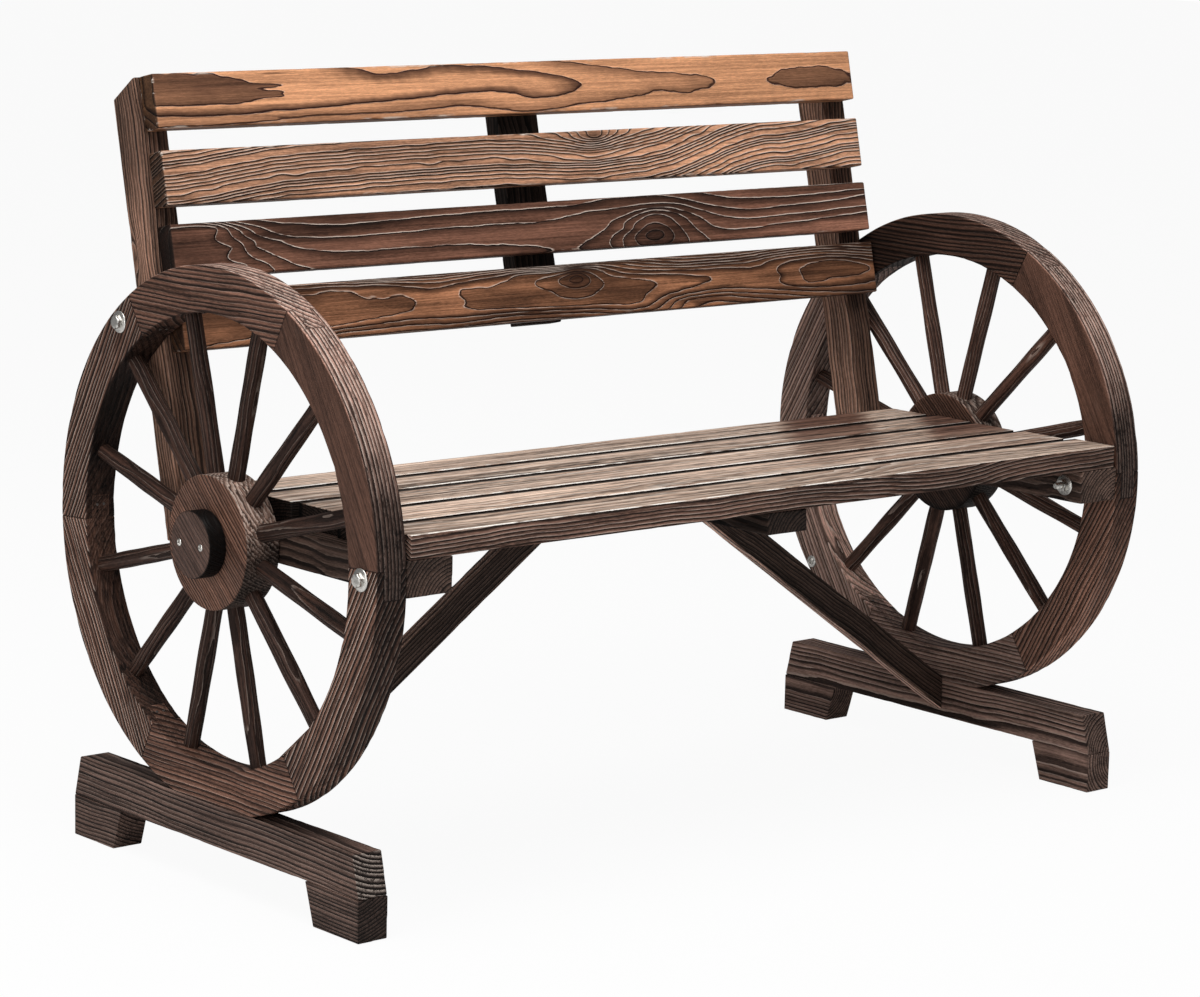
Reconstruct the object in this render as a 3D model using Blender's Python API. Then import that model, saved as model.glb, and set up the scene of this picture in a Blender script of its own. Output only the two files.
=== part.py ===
"""Wagon wheel bench: two spoked wheels carry a boarded seat and a slatted, leaning back.

Metres. X runs along the seat, Y to the back and Z up from the floor, with the wheel axle over Y = 0.
"""

import math

import bmesh
import bpy
from mathutils import Matrix, Vector

# Space left where two pieces touch and around each tenon in its mortise
CLEARANCE = 0.0003

# Rims and runners are sawn from the same thickness and stand flush on both faces
STOCK_THICKNESS = 0.035
STOCK_FACE_X = 0.525

# Runners under the wheels, with a foot block at each end
RUNNER_HEIGHT = 0.043
RUNNER_TOP_LENGTH = 0.480
RUNNER_BASE_LENGTH = 0.502
FOOT_HEIGHT = 0.0432
FOOT_LENGTH = 0.074
FOOT_SPLAY = 0.014

# Wheel rims
RIM_RADIUS = 0.275
RIM_DEPTH = 0.047
RIM_EDGE = 0.002
RIM_FLAT = 0.0089
FELLOE_COUNT = 6
FELLOE_STEPS = 12
TONGUE_LENGTH = 0.0264
TONGUE_THICKNESS = 0.020

# Spokes and hubs
SPOKES_PER_FELLOE = 2
SPOKE_SIDES = 12
SPOKE_HUB_RADIUS = 0.009
SPOKE_RIM_RADIUS = 0.0085
SPOKE_HUB_TENON = 0.024
SPOKE_RIM_TENON = 0.022
HUB_RADIUS = 0.068
HUB_LENGTH = 0.040
HUB_EDGE = 0.003
CAP_RADIUS = 0.034
CAP_LENGTH = 0.020
CAP_EDGE = 0.002
HUB_SIDES = 36

# Seat, front board first
SEAT_FRONT_SETBACK = 0.001
SEAT_THICKNESS = 0.024
SEAT_SPACING = 0.0073
SEAT_WIDTHS = (0.0598, 0.0649, 0.0634, 0.0584, 0.0543)
SEAT_END_SETBACKS = (0.0047, 0.0147, 0.0197, 0.0157, 0.0227)
RAIL_WIDTH = 0.055
RAIL_HEIGHT = 0.036
RAIL_RISE = 0.0034
CLEAT_WIDTH = 0.054
CLEAT_THICKNESS = 0.0235
CLEAT_SETBACK = 0.002
BRACE_THICKNESS = 0.015
BRACE_WIDTH = 0.0315
BRACE_SETBACK = 0.2635
BRACE_RISE = 0.004

# Back, lowest slat first; distances along the slats' front plane start at the seat's surface
BACK_Y = 0.0777
BACK_LEAN = math.radians(12.77)
SLAT_END_SETBACK = 0.0052
SLAT_THICKNESS = 0.024
SLAT_START = 0.133
SLAT_WIDTHS = (0.059, 0.0555, 0.056, 0.0562)
SLAT_SPACINGS = (0.0143, 0.0192, 0.0223)
POST_WIDTH = 0.025
POST_DEPTH = 0.043
POST_DROP = 0.068
POST_TOP_FLAT = 0.004
POST_TOP_FALL = 0.0167
BATTEN_WIDTH = 0.056
BATTEN_THICKNESS = 0.022
BATTEN_OVERHANG = 0.002
BATTEN_TOP_SETBACK = 0.010

# Bolts through the rims: the front ones enter the side rails, the rear ones the back posts
BOLT_HOLE_RADIUS = 0.0043
BOLT_SIDES = 12
FRONT_BOLT_INSET = 0.026
REAR_BOLT_INSET = 0.0146
POST_BOLT_SETBACK = 0.026

# Eased edges of the boards
BOARD_EDGE = 0.0025
BOARD_EDGE_STEPS = 2
BRACE_EDGE = 0.001
SHARP_ANGLE = math.radians(35)

# How far a cutting solid reaches past what it cuts
OVERCUT = 0.02

# Heights and planes that follow from the sizes above
RUNNER_TOP = FOOT_HEIGHT + RUNNER_HEIGHT
RIM_BOTTOM = RUNNER_TOP + CLEARANCE
WHEEL_Z = RIM_BOTTOM + RIM_RADIUS - RIM_FLAT
WHEEL_X = STOCK_FACE_X - STOCK_THICKNESS / 2
RIM_BORE = RIM_RADIUS - RIM_DEPTH
RIM_MIDDLE = RIM_RADIUS - RIM_DEPTH / 2
FELLOE_ANGLE = 2 * math.pi / FELLOE_COUNT
LAP_ANGLE = TONGUE_LENGTH / RIM_MIDDLE
LAP_CLEARANCE = CLEARANCE / RIM_BORE
SPOKE_ANGLE = FELLOE_ANGLE / SPOKES_PER_FELLOE
SPOKE_START = HUB_RADIUS - SPOKE_HUB_TENON
SPOKE_END = RIM_BORE + SPOKE_RIM_TENON
FRAME_X = STOCK_FACE_X - STOCK_THICKNESS - CLEARANCE
RAIL_Z = WHEEL_Z + RAIL_RISE
RAIL_TOP = RAIL_Z + RAIL_HEIGHT / 2
SEAT_UNDERSIDE = RAIL_TOP + CLEARANCE
SEAT_SURFACE = SEAT_UNDERSIDE + SEAT_THICKNESS
SEAT_FRONT_Y = SEAT_FRONT_SETBACK - RIM_RADIUS
BRACE_Y = SEAT_FRONT_Y + BRACE_SETBACK
SEAT_BACK_Y = SEAT_FRONT_Y + sum(SEAT_WIDTHS) + SEAT_SPACING * (len(SEAT_WIDTHS) - 1)
SLAT_LENGTH = 2 * (FRAME_X - SLAT_END_SETBACK)
BACK_TOP = SLAT_START + sum(SLAT_WIDTHS) + sum(SLAT_SPACINGS)
POST_FRONT = SLAT_THICKNESS + CLEARANCE

SIDES = (("left", -1), ("right", 1))
ALONG_X = Matrix.Rotation(math.radians(90), 4, 'Y')
ALONG_Y = Matrix.Rotation(math.radians(-90), 4, 'X')


def clear_scene():
    for item in list(bpy.data.objects):
        bpy.data.objects.remove(item, do_unlink=True)


def timber(name, colour, roughness):
    material = bpy.data.materials.new(name)
    material.use_nodes = True
    shader = material.node_tree.nodes["Principled BSDF"]
    shader.inputs["Base Color"].default_value = (*colour, 1.0)
    shader.inputs["Roughness"].default_value = roughness
    shader.inputs["Metallic"].default_value = 0.0
    return material


def frame_point(name, location, tilt=0.0):
    """An empty that carries the pieces of a wheel or of the back."""
    empty = bpy.data.objects.new(name, None)
    bpy.context.scene.collection.objects.link(empty)
    empty.location = location
    empty.rotation_euler = (tilt, 0.0, 0.0)
    return empty


def mesh_of(name, bm, round_piece=False):
    bmesh.ops.recalc_face_normals(bm, faces=bm.faces)
    mesh = bpy.data.meshes.new(name)
    bm.to_mesh(mesh)
    bm.free()
    if round_piece:
        mesh.shade_smooth()
        mesh.set_sharp_from_angle(angle=SHARP_ANGLE)
    return mesh


def piece(name, mesh, material=None, location=(0.0, 0.0, 0.0), turn=0.0, parent=None):
    item = bpy.data.objects.new(name, mesh)
    bpy.context.scene.collection.objects.link(item)
    item.parent = parent
    item.location = location
    item.rotation_euler = (turn, 0.0, 0.0)
    if material is not None and not mesh.materials:
        mesh.materials.append(material)
    return item


def cut(item, cutter):
    """Take the cutter's shape out of a piece."""
    boolean = item.modifiers.new("cut", 'BOOLEAN')
    boolean.operation = 'DIFFERENCE'
    boolean.solver = 'EXACT'
    boolean.object = cutter
    depsgraph = bpy.context.evaluated_depsgraph_get()
    mesh = bpy.data.meshes.new_from_object(item.evaluated_get(depsgraph))
    item.modifiers.clear()
    item.data = mesh


def discard(*cutters):
    for cutter in cutters:
        bpy.data.objects.remove(cutter, do_unlink=True)


def ease(bm, edges, width, steps=BOARD_EDGE_STEPS):
    bmesh.ops.bevel(bm, geom=edges, offset=width, segments=steps, profile=0.5, affect='EDGES')


def board(name, size, material, location, parent=None):
    """A squared board with eased edges, around its own centre."""
    bm = bmesh.new()
    bmesh.ops.create_cube(bm, size=1.0, matrix=Matrix.Diagonal((*size, 1.0)))
    ease(bm, bm.edges[:], BOARD_EDGE)
    return piece(name, mesh_of(name, bm), material, location, parent=parent)


def prism_mesh(name, outline, depth, edge=0.0):
    """A flat outline drawn out along the depth vector, half to each side."""
    bm = bmesh.new()
    face = bm.faces.new([bm.verts.new(Vector(point) - depth / 2) for point in outline])
    swept = bmesh.ops.extrude_face_region(bm, geom=[face])
    far = [part for part in swept["geom"] if isinstance(part, bmesh.types.BMVert)]
    bmesh.ops.translate(bm, verts=far, vec=depth)
    if edge:
        ease(bm, bm.edges[:], edge)
    return mesh_of(name, bm)


def arc_mesh(name, bore, radius, half_width, start, end, steps, edge=0.0):
    """A bar of rectangular section bent around the wheel's axle, with its long edges chamfered."""
    corners = [(bore, -1), (radius, -1), (radius, 1), (bore, 1)]
    section = []
    for r, side in corners:
        into_rim = edge if r == bore else -edge
        points = [(r, side * (half_width - edge)), (r + into_rim, side * half_width)]
        if (r == bore) != (side == -1):
            points.reverse()
        section.extend(points if edge else points[:1])
    bm = bmesh.new()
    first = Matrix.Rotation(start, 3, 'X')
    face = bm.faces.new([bm.verts.new(first @ Vector((x, r, 0.0))) for r, x in section])
    bmesh.ops.spin(
        bm,
        geom=[face],
        cent=(0.0, 0.0, 0.0),
        axis=(1.0, 0.0, 0.0),
        angle=end - start,
        steps=steps,
    )
    return mesh_of(name, bm, round_piece=True)


def add_spoke(bm, angle, clearance):
    """A tapered round spoke from hub to rim; with a clearance it is the space cut for it."""
    start = SPOKE_START - clearance
    end = SPOKE_END + clearance
    place = Matrix.Rotation(angle, 4, 'X') @ Matrix.Translation((0.0, (start + end) / 2, 0.0)) @ ALONG_Y
    bmesh.ops.create_cone(
        bm,
        cap_ends=True,
        segments=SPOKE_SIDES,
        radius1=SPOKE_HUB_RADIUS + clearance,
        radius2=SPOKE_RIM_RADIUS + clearance,
        depth=end - start,
        matrix=place,
    )


def spoke_mesh(name, angles, clearance=0.0):
    bm = bmesh.new()
    for angle in angles:
        add_spoke(bm, angle, clearance)
    return mesh_of(name, bm, round_piece=True)


def disc_mesh(name, radius, length, edge):
    """A round block along X with both rims eased."""
    bm = bmesh.new()
    bmesh.ops.create_cone(
        bm,
        cap_ends=True,
        segments=HUB_SIDES,
        radius1=radius,
        radius2=radius,
        depth=length,
        matrix=ALONG_X,
    )
    rims = [line for line in bm.edges if any(len(face.verts) == HUB_SIDES for face in line.link_faces)]
    ease(bm, rims, edge)
    return mesh_of(name, bm, round_piece=True)


def hole_cutter(name, points):
    """Bores along X right through the bench at the given places."""
    bm = bmesh.new()
    for y, z in points:
        bmesh.ops.create_cone(
            bm,
            cap_ends=True,
            segments=BOLT_SIDES,
            radius1=BOLT_HOLE_RADIUS,
            radius2=BOLT_HOLE_RADIUS,
            depth=2 * (STOCK_FACE_X + OVERCUT),
            matrix=Matrix.Translation((0.0, y, z)) @ ALONG_X,
        )
    return piece(name, mesh_of(name, bm))


def felloe_mesh():
    """One rim segment: a slot between two cheeks at its first end and a tongue at its other end."""
    start = -LAP_ANGLE / 2
    end = FELLOE_ANGLE + LAP_ANGLE / 2
    half = STOCK_THICKNESS / 2
    mesh = arc_mesh("felloe", RIM_BORE, RIM_RADIUS, half, start, end, FELLOE_STEPS, RIM_EDGE)
    felloe = piece("felloe_blank", mesh)
    bore = RIM_BORE - OVERCUT
    radius = RIM_RADIUS + OVERCUT
    past = OVERCUT / RIM_RADIUS
    slot_half = TONGUE_THICKNESS / 2 + CLEARANCE
    slot_end = LAP_ANGLE / 2 + LAP_CLEARANCE
    slot = piece("slot", arc_mesh("slot", bore, radius, slot_half, start - past, slot_end, 2))
    cut(felloe, slot)
    shoulder = FELLOE_ANGLE - LAP_ANGLE / 2 - LAP_CLEARANCE
    cheek_width = half + OVERCUT - TONGUE_THICKNESS / 2
    cheek = piece("cheek", arc_mesh("cheek", bore, radius, cheek_width / 2, shoulder, end + past, 2))
    for side in (-1, 1):
        cheek.location.x = side * (TONGUE_THICKNESS + cheek_width) / 2
        cut(felloe, cheek)
    angles = [SPOKE_ANGLE * (index + 0.5) for index in range(SPOKES_PER_FELLOE)]
    mortises = piece("mortises", spoke_mesh("mortises", angles, CLEARANCE))
    cut(felloe, mortises)
    finished = felloe.data
    discard(felloe, slot, cheek, mortises)
    return finished


def build_wheels(woods, bolt_holes):
    spoke_count = FELLOE_COUNT * SPOKES_PER_FELLOE
    spoke_angles = [SPOKE_ANGLE * (index + 0.5) for index in range(spoke_count)]
    felloe = felloe_mesh()
    spoke = spoke_mesh("spoke", [0.0])
    floor_size = (2 * (STOCK_FACE_X + OVERCUT), 2 * RIM_RADIUS, 2 * RIM_BOTTOM)
    bm = bmesh.new()
    bmesh.ops.create_cube(bm, size=1.0, matrix=Matrix.Diagonal((*floor_size, 1.0)))
    flat = piece("flat", mesh_of("flat", bm))
    for side_name, side in SIDES:
        wheel = frame_point("wheel_" + side_name, (side * WHEEL_X, 0.0, WHEEL_Z))
        for index in range(FELLOE_COUNT):
            name = f"wheel_{side_name}_felloe_{index + 1}"
            turn = FELLOE_ANGLE * index
            item = piece(name, felloe.copy(), woods["rim"], turn=turn, parent=wheel)
            cut(item, flat)
            cut(item, bolt_holes)
        for index, angle in enumerate(spoke_angles):
            name = f"wheel_{side_name}_spoke_{index + 1:02d}"
            piece(name, spoke, woods["spoke"], turn=angle, parent=wheel)
        hub_x = side * (HUB_LENGTH - STOCK_THICKNESS) / 2
        name = f"wheel_{side_name}_hub"
        mesh = disc_mesh(name, HUB_RADIUS, HUB_LENGTH, HUB_EDGE)
        hub = piece(name, mesh, woods["hub"], (hub_x, 0.0, 0.0), parent=wheel)
        mortises = piece("mortises", spoke_mesh("mortises", spoke_angles, CLEARANCE), parent=wheel)
        cut(hub, mortises)
        discard(mortises)
        cap_x = side * (HUB_LENGTH - STOCK_THICKNESS / 2 + CLEARANCE + CAP_LENGTH / 2)
        name = f"wheel_{side_name}_hub_cap"
        mesh = disc_mesh(name, CAP_RADIUS, CAP_LENGTH, CAP_EDGE)
        piece(name, mesh, woods["cap"], (cap_x, 0.0, 0.0), parent=wheel)
    discard(flat)


def build_runners(woods):
    """Beam and feet in one profile: slanted beam ends, and feet that widen towards the beam."""
    base = RUNNER_BASE_LENGTH / 2
    top = RUNNER_TOP_LENGTH / 2
    foot = base - FOOT_LENGTH
    arch = foot - FOOT_SPLAY
    rear = [(foot, 0.0), (base, 0.0), (base, FOOT_HEIGHT), (top, RUNNER_TOP)]
    front = [(-y, z) for y, z in reversed(rear)]
    under = [(-arch, FOOT_HEIGHT), (arch, FOOT_HEIGHT)]
    outline = [(0.0, y, z) for y, z in rear + front + under]
    for side_name, side in SIDES:
        name = f"runner_{side_name}"
        mesh = prism_mesh(name, outline, Vector((STOCK_THICKNESS, 0.0, 0.0)), BOARD_EDGE)
        piece(name, mesh, woods["frame"], (side * WHEEL_X, 0.0, 0.0))


def back_plane_y(z, depth):
    """Where a plane this far behind the slats' front stands at a given height."""
    return BACK_Y + (z - SEAT_SURFACE) * math.tan(BACK_LEAN) + depth / math.cos(BACK_LEAN)


def rear_bolt_point():
    """Where the bolt line of the post crosses the bolt circle of the rim."""
    depth = POST_FRONT + POST_BOLT_SETBACK
    y = BACK_Y + depth * math.cos(BACK_LEAN)
    z = SEAT_SURFACE - depth * math.sin(BACK_LEAN) - WHEEL_Z
    along = y * math.sin(BACK_LEAN) + z * math.cos(BACK_LEAN)
    radius = RIM_RADIUS - REAR_BOLT_INSET
    rise = math.sqrt(along ** 2 - y ** 2 - z ** 2 + radius ** 2) - along
    return (y + rise * math.sin(BACK_LEAN), WHEEL_Z + z + rise * math.cos(BACK_LEAN))


def build_seat(woods, bolt_holes):
    y = SEAT_FRONT_Y
    for index, (width, setback) in enumerate(zip(SEAT_WIDTHS, SEAT_END_SETBACKS)):
        size = (2 * (FRAME_X - setback), width, SEAT_THICKNESS)
        centre = (0.0, y + width / 2, SEAT_UNDERSIDE + SEAT_THICKNESS / 2)
        board(f"seat_board_{index + 1}", size, woods["seat"], centre)
        y += width + SEAT_SPACING
    bottom = -RAIL_HEIGHT / 2
    top = RAIL_HEIGHT / 2
    rear_top = back_plane_y(RAIL_Z + top, SLAT_THICKNESS)
    rear_bottom = back_plane_y(RAIL_Z + bottom, SLAT_THICKNESS)
    corners = [(SEAT_FRONT_Y, bottom), (rear_bottom, bottom), (rear_top, top), (SEAT_FRONT_Y, top)]
    outline = [(0.0, y, z) for y, z in corners]
    for side_name, side in SIDES:
        name = f"side_rail_{side_name}"
        mesh = prism_mesh(name, outline, Vector((RAIL_WIDTH, 0.0, 0.0)), BOARD_EDGE)
        rail = piece(name, mesh, woods["frame"], (side * (FRAME_X - RAIL_WIDTH / 2), 0.0, RAIL_Z))
        cut(rail, bolt_holes)
    front = SEAT_FRONT_Y + CLEAT_SETBACK
    size = (CLEAT_WIDTH, SEAT_BACK_Y - front, CLEAT_THICKNESS)
    centre = (0.0, (SEAT_BACK_Y + front) / 2, RAIL_TOP - CLEAT_THICKNESS / 2)
    board("seat_cleat", size, woods["frame"], centre)


def build_braces(woods):
    """Slanting struts: level under the seat at the cleat, upright against runner and rim."""
    inner = CLEAT_WIDTH / 2 + CLEARANCE
    top = RAIL_TOP
    foot_top = RUNNER_TOP + BRACE_RISE
    run = FRAME_X - inner
    fall = top - foot_top
    slope = math.atan2(fall, run) + math.asin(BRACE_WIDTH / math.hypot(run, fall))
    foot_bottom = foot_top - BRACE_WIDTH / math.cos(slope)
    shoulder = FRAME_X - fall / math.tan(slope)
    corners = [(inner, top), (FRAME_X, foot_bottom), (FRAME_X, foot_top), (shoulder, top)]
    for side_name, side in SIDES:
        name = f"brace_{side_name}"
        outline = [(side * (x - FRAME_X), 0.0, z - foot_top) for x, z in corners]
        mesh = prism_mesh(name, outline, Vector((0.0, BRACE_THICKNESS, 0.0)), BRACE_EDGE)
        piece(name, mesh, woods["frame"], (side * FRAME_X, BRACE_Y, foot_top))


def build_back(woods, bolt_holes):
    back = frame_point("back", (0.0, BACK_Y, SEAT_SURFACE), -BACK_LEAN)
    rise = SLAT_START
    for index, width in enumerate(SLAT_WIDTHS):
        size = (SLAT_LENGTH, SLAT_THICKNESS, width)
        centre = (0.0, SLAT_THICKNESS / 2, rise + width / 2)
        board(f"back_slat_{index + 1}", size, woods["slat"], centre, back)
        rise += width + (SLAT_SPACINGS[index] if index < len(SLAT_SPACINGS) else 0.0)
    rear = POST_FRONT + POST_DEPTH
    front_foot = (POST_FRONT * math.sin(BACK_LEAN) - POST_DROP) / math.cos(BACK_LEAN)
    rear_foot = (rear * math.sin(BACK_LEAN) - POST_DROP) / math.cos(BACK_LEAN)
    corners = [
        (POST_FRONT, front_foot),
        (rear, rear_foot),
        (rear, BACK_TOP - POST_TOP_FALL),
        (POST_FRONT + POST_TOP_FLAT, BACK_TOP),
        (POST_FRONT, BACK_TOP),
    ]
    outline = [(0.0, y, z) for y, z in corners]
    for side_name, side in SIDES:
        name = f"back_post_{side_name}"
        mesh = prism_mesh(name, outline, Vector((POST_WIDTH, 0.0, 0.0)))
        centre = (side * (FRAME_X - POST_WIDTH / 2), 0.0, 0.0)
        post = piece(name, mesh, woods["frame"], centre, parent=back)
        cut(post, bolt_holes)
    bottom = SLAT_START - BATTEN_OVERHANG
    top = BACK_TOP - BATTEN_TOP_SETBACK
    size = (BATTEN_WIDTH, BATTEN_THICKNESS, top - bottom)
    centre = (0.0, POST_FRONT + BATTEN_THICKNESS / 2, (top + bottom) / 2)
    board("back_batten", size, woods["frame"], centre, back)


def build():
    clear_scene()
    woods = {
        "rim": timber("rim_wood", (0.130, 0.060, 0.034), 0.62),
        "spoke": timber("spoke_wood", (0.110, 0.052, 0.030), 0.58),
        "hub": timber("hub_wood", (0.190, 0.086, 0.046), 0.60),
        "cap": timber("cap_wood", (0.055, 0.030, 0.020), 0.55),
        "seat": timber("seat_wood", (0.330, 0.215, 0.150), 0.55),
        "slat": timber("slat_wood", (0.260, 0.125, 0.060), 0.55),
        "frame": timber("frame_wood", (0.085, 0.045, 0.028), 0.62),
    }
    front_bolt = (FRONT_BOLT_INSET - RIM_RADIUS, RAIL_Z)
    bolt_holes = hole_cutter("bolt_holes", [front_bolt, rear_bolt_point()])
    build_wheels(woods, bolt_holes)
    build_runners(woods)
    build_seat(woods, bolt_holes)
    build_braces(woods)
    build_back(woods, bolt_holes)
    discard(bolt_holes)


build()
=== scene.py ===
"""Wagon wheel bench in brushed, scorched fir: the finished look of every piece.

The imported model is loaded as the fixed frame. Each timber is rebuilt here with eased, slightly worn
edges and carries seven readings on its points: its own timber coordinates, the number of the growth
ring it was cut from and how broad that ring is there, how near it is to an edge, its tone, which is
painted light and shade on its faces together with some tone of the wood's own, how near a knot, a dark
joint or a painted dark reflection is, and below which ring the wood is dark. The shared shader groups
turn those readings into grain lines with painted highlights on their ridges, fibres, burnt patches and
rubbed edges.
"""

import math

import bmesh
import bpy
import numpy as np
from mathutils import Matrix, Vector


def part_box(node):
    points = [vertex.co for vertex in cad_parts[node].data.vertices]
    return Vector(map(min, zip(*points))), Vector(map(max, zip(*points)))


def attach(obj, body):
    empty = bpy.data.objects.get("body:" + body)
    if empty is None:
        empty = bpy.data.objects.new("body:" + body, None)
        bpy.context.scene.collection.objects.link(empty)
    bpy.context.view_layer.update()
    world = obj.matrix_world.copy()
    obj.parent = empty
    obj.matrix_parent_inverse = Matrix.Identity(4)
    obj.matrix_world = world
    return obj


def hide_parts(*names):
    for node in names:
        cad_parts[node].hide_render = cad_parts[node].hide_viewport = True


bl_info = {
    "name": "Wagon Wheel Bench",
    "version": (1, 0, 0),
    "blender": (4, 5, 0),
    "location": "View3D > Sidebar > Bench",
    "description": "Builds the scorched timber, the zinc fastenings and the studio of a wagon wheel bench",
    "category": "Add Mesh",
}

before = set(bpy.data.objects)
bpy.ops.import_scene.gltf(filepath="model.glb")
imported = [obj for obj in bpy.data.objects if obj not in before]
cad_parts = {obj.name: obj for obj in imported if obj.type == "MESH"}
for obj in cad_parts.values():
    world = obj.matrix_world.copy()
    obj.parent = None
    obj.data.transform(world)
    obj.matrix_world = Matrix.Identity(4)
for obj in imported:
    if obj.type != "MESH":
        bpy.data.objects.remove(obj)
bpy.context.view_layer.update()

SIDES = (("left", -1.0), ("right", 1.0))

# Wheels, in metres: the axle lies along X, over y = 0.
WHEEL_X = 0.5075
WHEEL_Z = 0.3526
RIM_RADIUS = 0.275
RIM_BORE = 0.228
RIM_THICKNESS = 0.035
RIM_FLAT_Z = 0.0865
TONGUE_THICKNESS = 0.020
TONGUE_HALF_ANGLE = 3.0
SPOKE_INNER, SPOKE_OUTER = 0.044, 0.250
SPOKE_RADIUS = (0.0090, 0.0085)

# Runners.
BEAM_BASE_Z, BEAM_TOP_Z = 0.0432, 0.0862
BEAM_TOP_HALF, BEAM_BASE_HALF = 0.240, 0.251
FOOT_INNER_FLOOR, FOOT_INNER_TOP = 0.177, 0.163

# The back leans to the rear about the line through BACK_ORIGIN.
BACK_ORIGIN = Vector((0.0, 0.0777, 0.3983))
BACK_LEAN = math.radians(12.77)
SLAT_SPANS = ((0.133, 0.192), (0.2063, 0.2618), (0.281, 0.337), (0.3593, 0.4155))
SLAT_HALF_LENGTH = 0.4845
SLAT_THICKNESS = 0.024
POST_X = (0.4572, 0.4897)
POST_DEPTH = (0.0243, 0.0673)
POST_FOOT_Z = 0.330
POST_TOP_FLAT, POST_TOP_FALL = 0.004, 0.0167
BATTEN_HALF_WIDTH = 0.028
BATTEN_DEPTH = (0.0243, 0.0463)
BATTEN_SPAN = (0.131, 0.4055)

# Braces: the four corners of the right one, as (x, z).
BRACE_CORNERS = ((0.0273, 0.374), (0.4897, 0.0518), (0.4897, 0.0902), (0.0824, 0.374))
BRACE_Y = (-0.018, -0.003)

# Fastenings, as (y, z) on the wheels' faces.
FRONT_BOLT = (-0.249, 0.356)
REAR_BOLT = (0.1648, 0.554)
RIM_SCREW = (0.210, 0.190)
CAP_SCREW_SPREAD = 0.0185

# The photograph's camera.
CAMERA_PLACE = Vector((-2.6941, -3.1680, 1.0832))
CAMERA_YAW, CAMERA_PITCH, CAMERA_ROLL = 0.7006, -0.1756, 0.022
CAMERA_LENS = 117.75


# What a user would change

def length(name, description, default):
    return bpy.props.FloatProperty(
        name=name, description=description, default=default, min=0.0, precision=4, subtype="DISTANCE", unit="LENGTH")


def colour(name, description, default):
    return bpy.props.FloatVectorProperty(
        name=name, description=description, default=default, size=3, min=0.0, max=1.0, subtype="COLOR")


class BenchSizes(bpy.types.PropertyGroup):
    """Sizes of the finish and the fastenings."""

    slat_ease: length("Slat edges", "Radius that the edges of the back slats are eased to", 0.0018)
    seat_ease: length("Seat edges", "Radius that the edges of the seat boards are eased to", 0.0010)
    rim_ease: length("Rim edges", "Radius that the edges of the rims are eased to", 0.0016)
    frame_ease: length("Frame edges", "Radius that the edges of posts, rails and braces are eased to", 0.0014)
    nick: length("Edge nicks", "How deep the edges are worn in places", 0.0007)
    relief: length("Grain relief", "Height of the hard grain over the brushed soft grain", 0.0013)
    washer_radius: length("Washer", "Outer radius of the bolts' washers", 0.0115)
    bolt_flats: length("Bolt head", "Width of the bolt heads and nuts across the flats", 0.0130)
    screw_radius: length("Screw head", "Radius of the hub caps' screw heads", 0.0036)
    nail_radius: length("Nail head", "Radius of the nail heads in the rims' joints", 0.0016)


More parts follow.
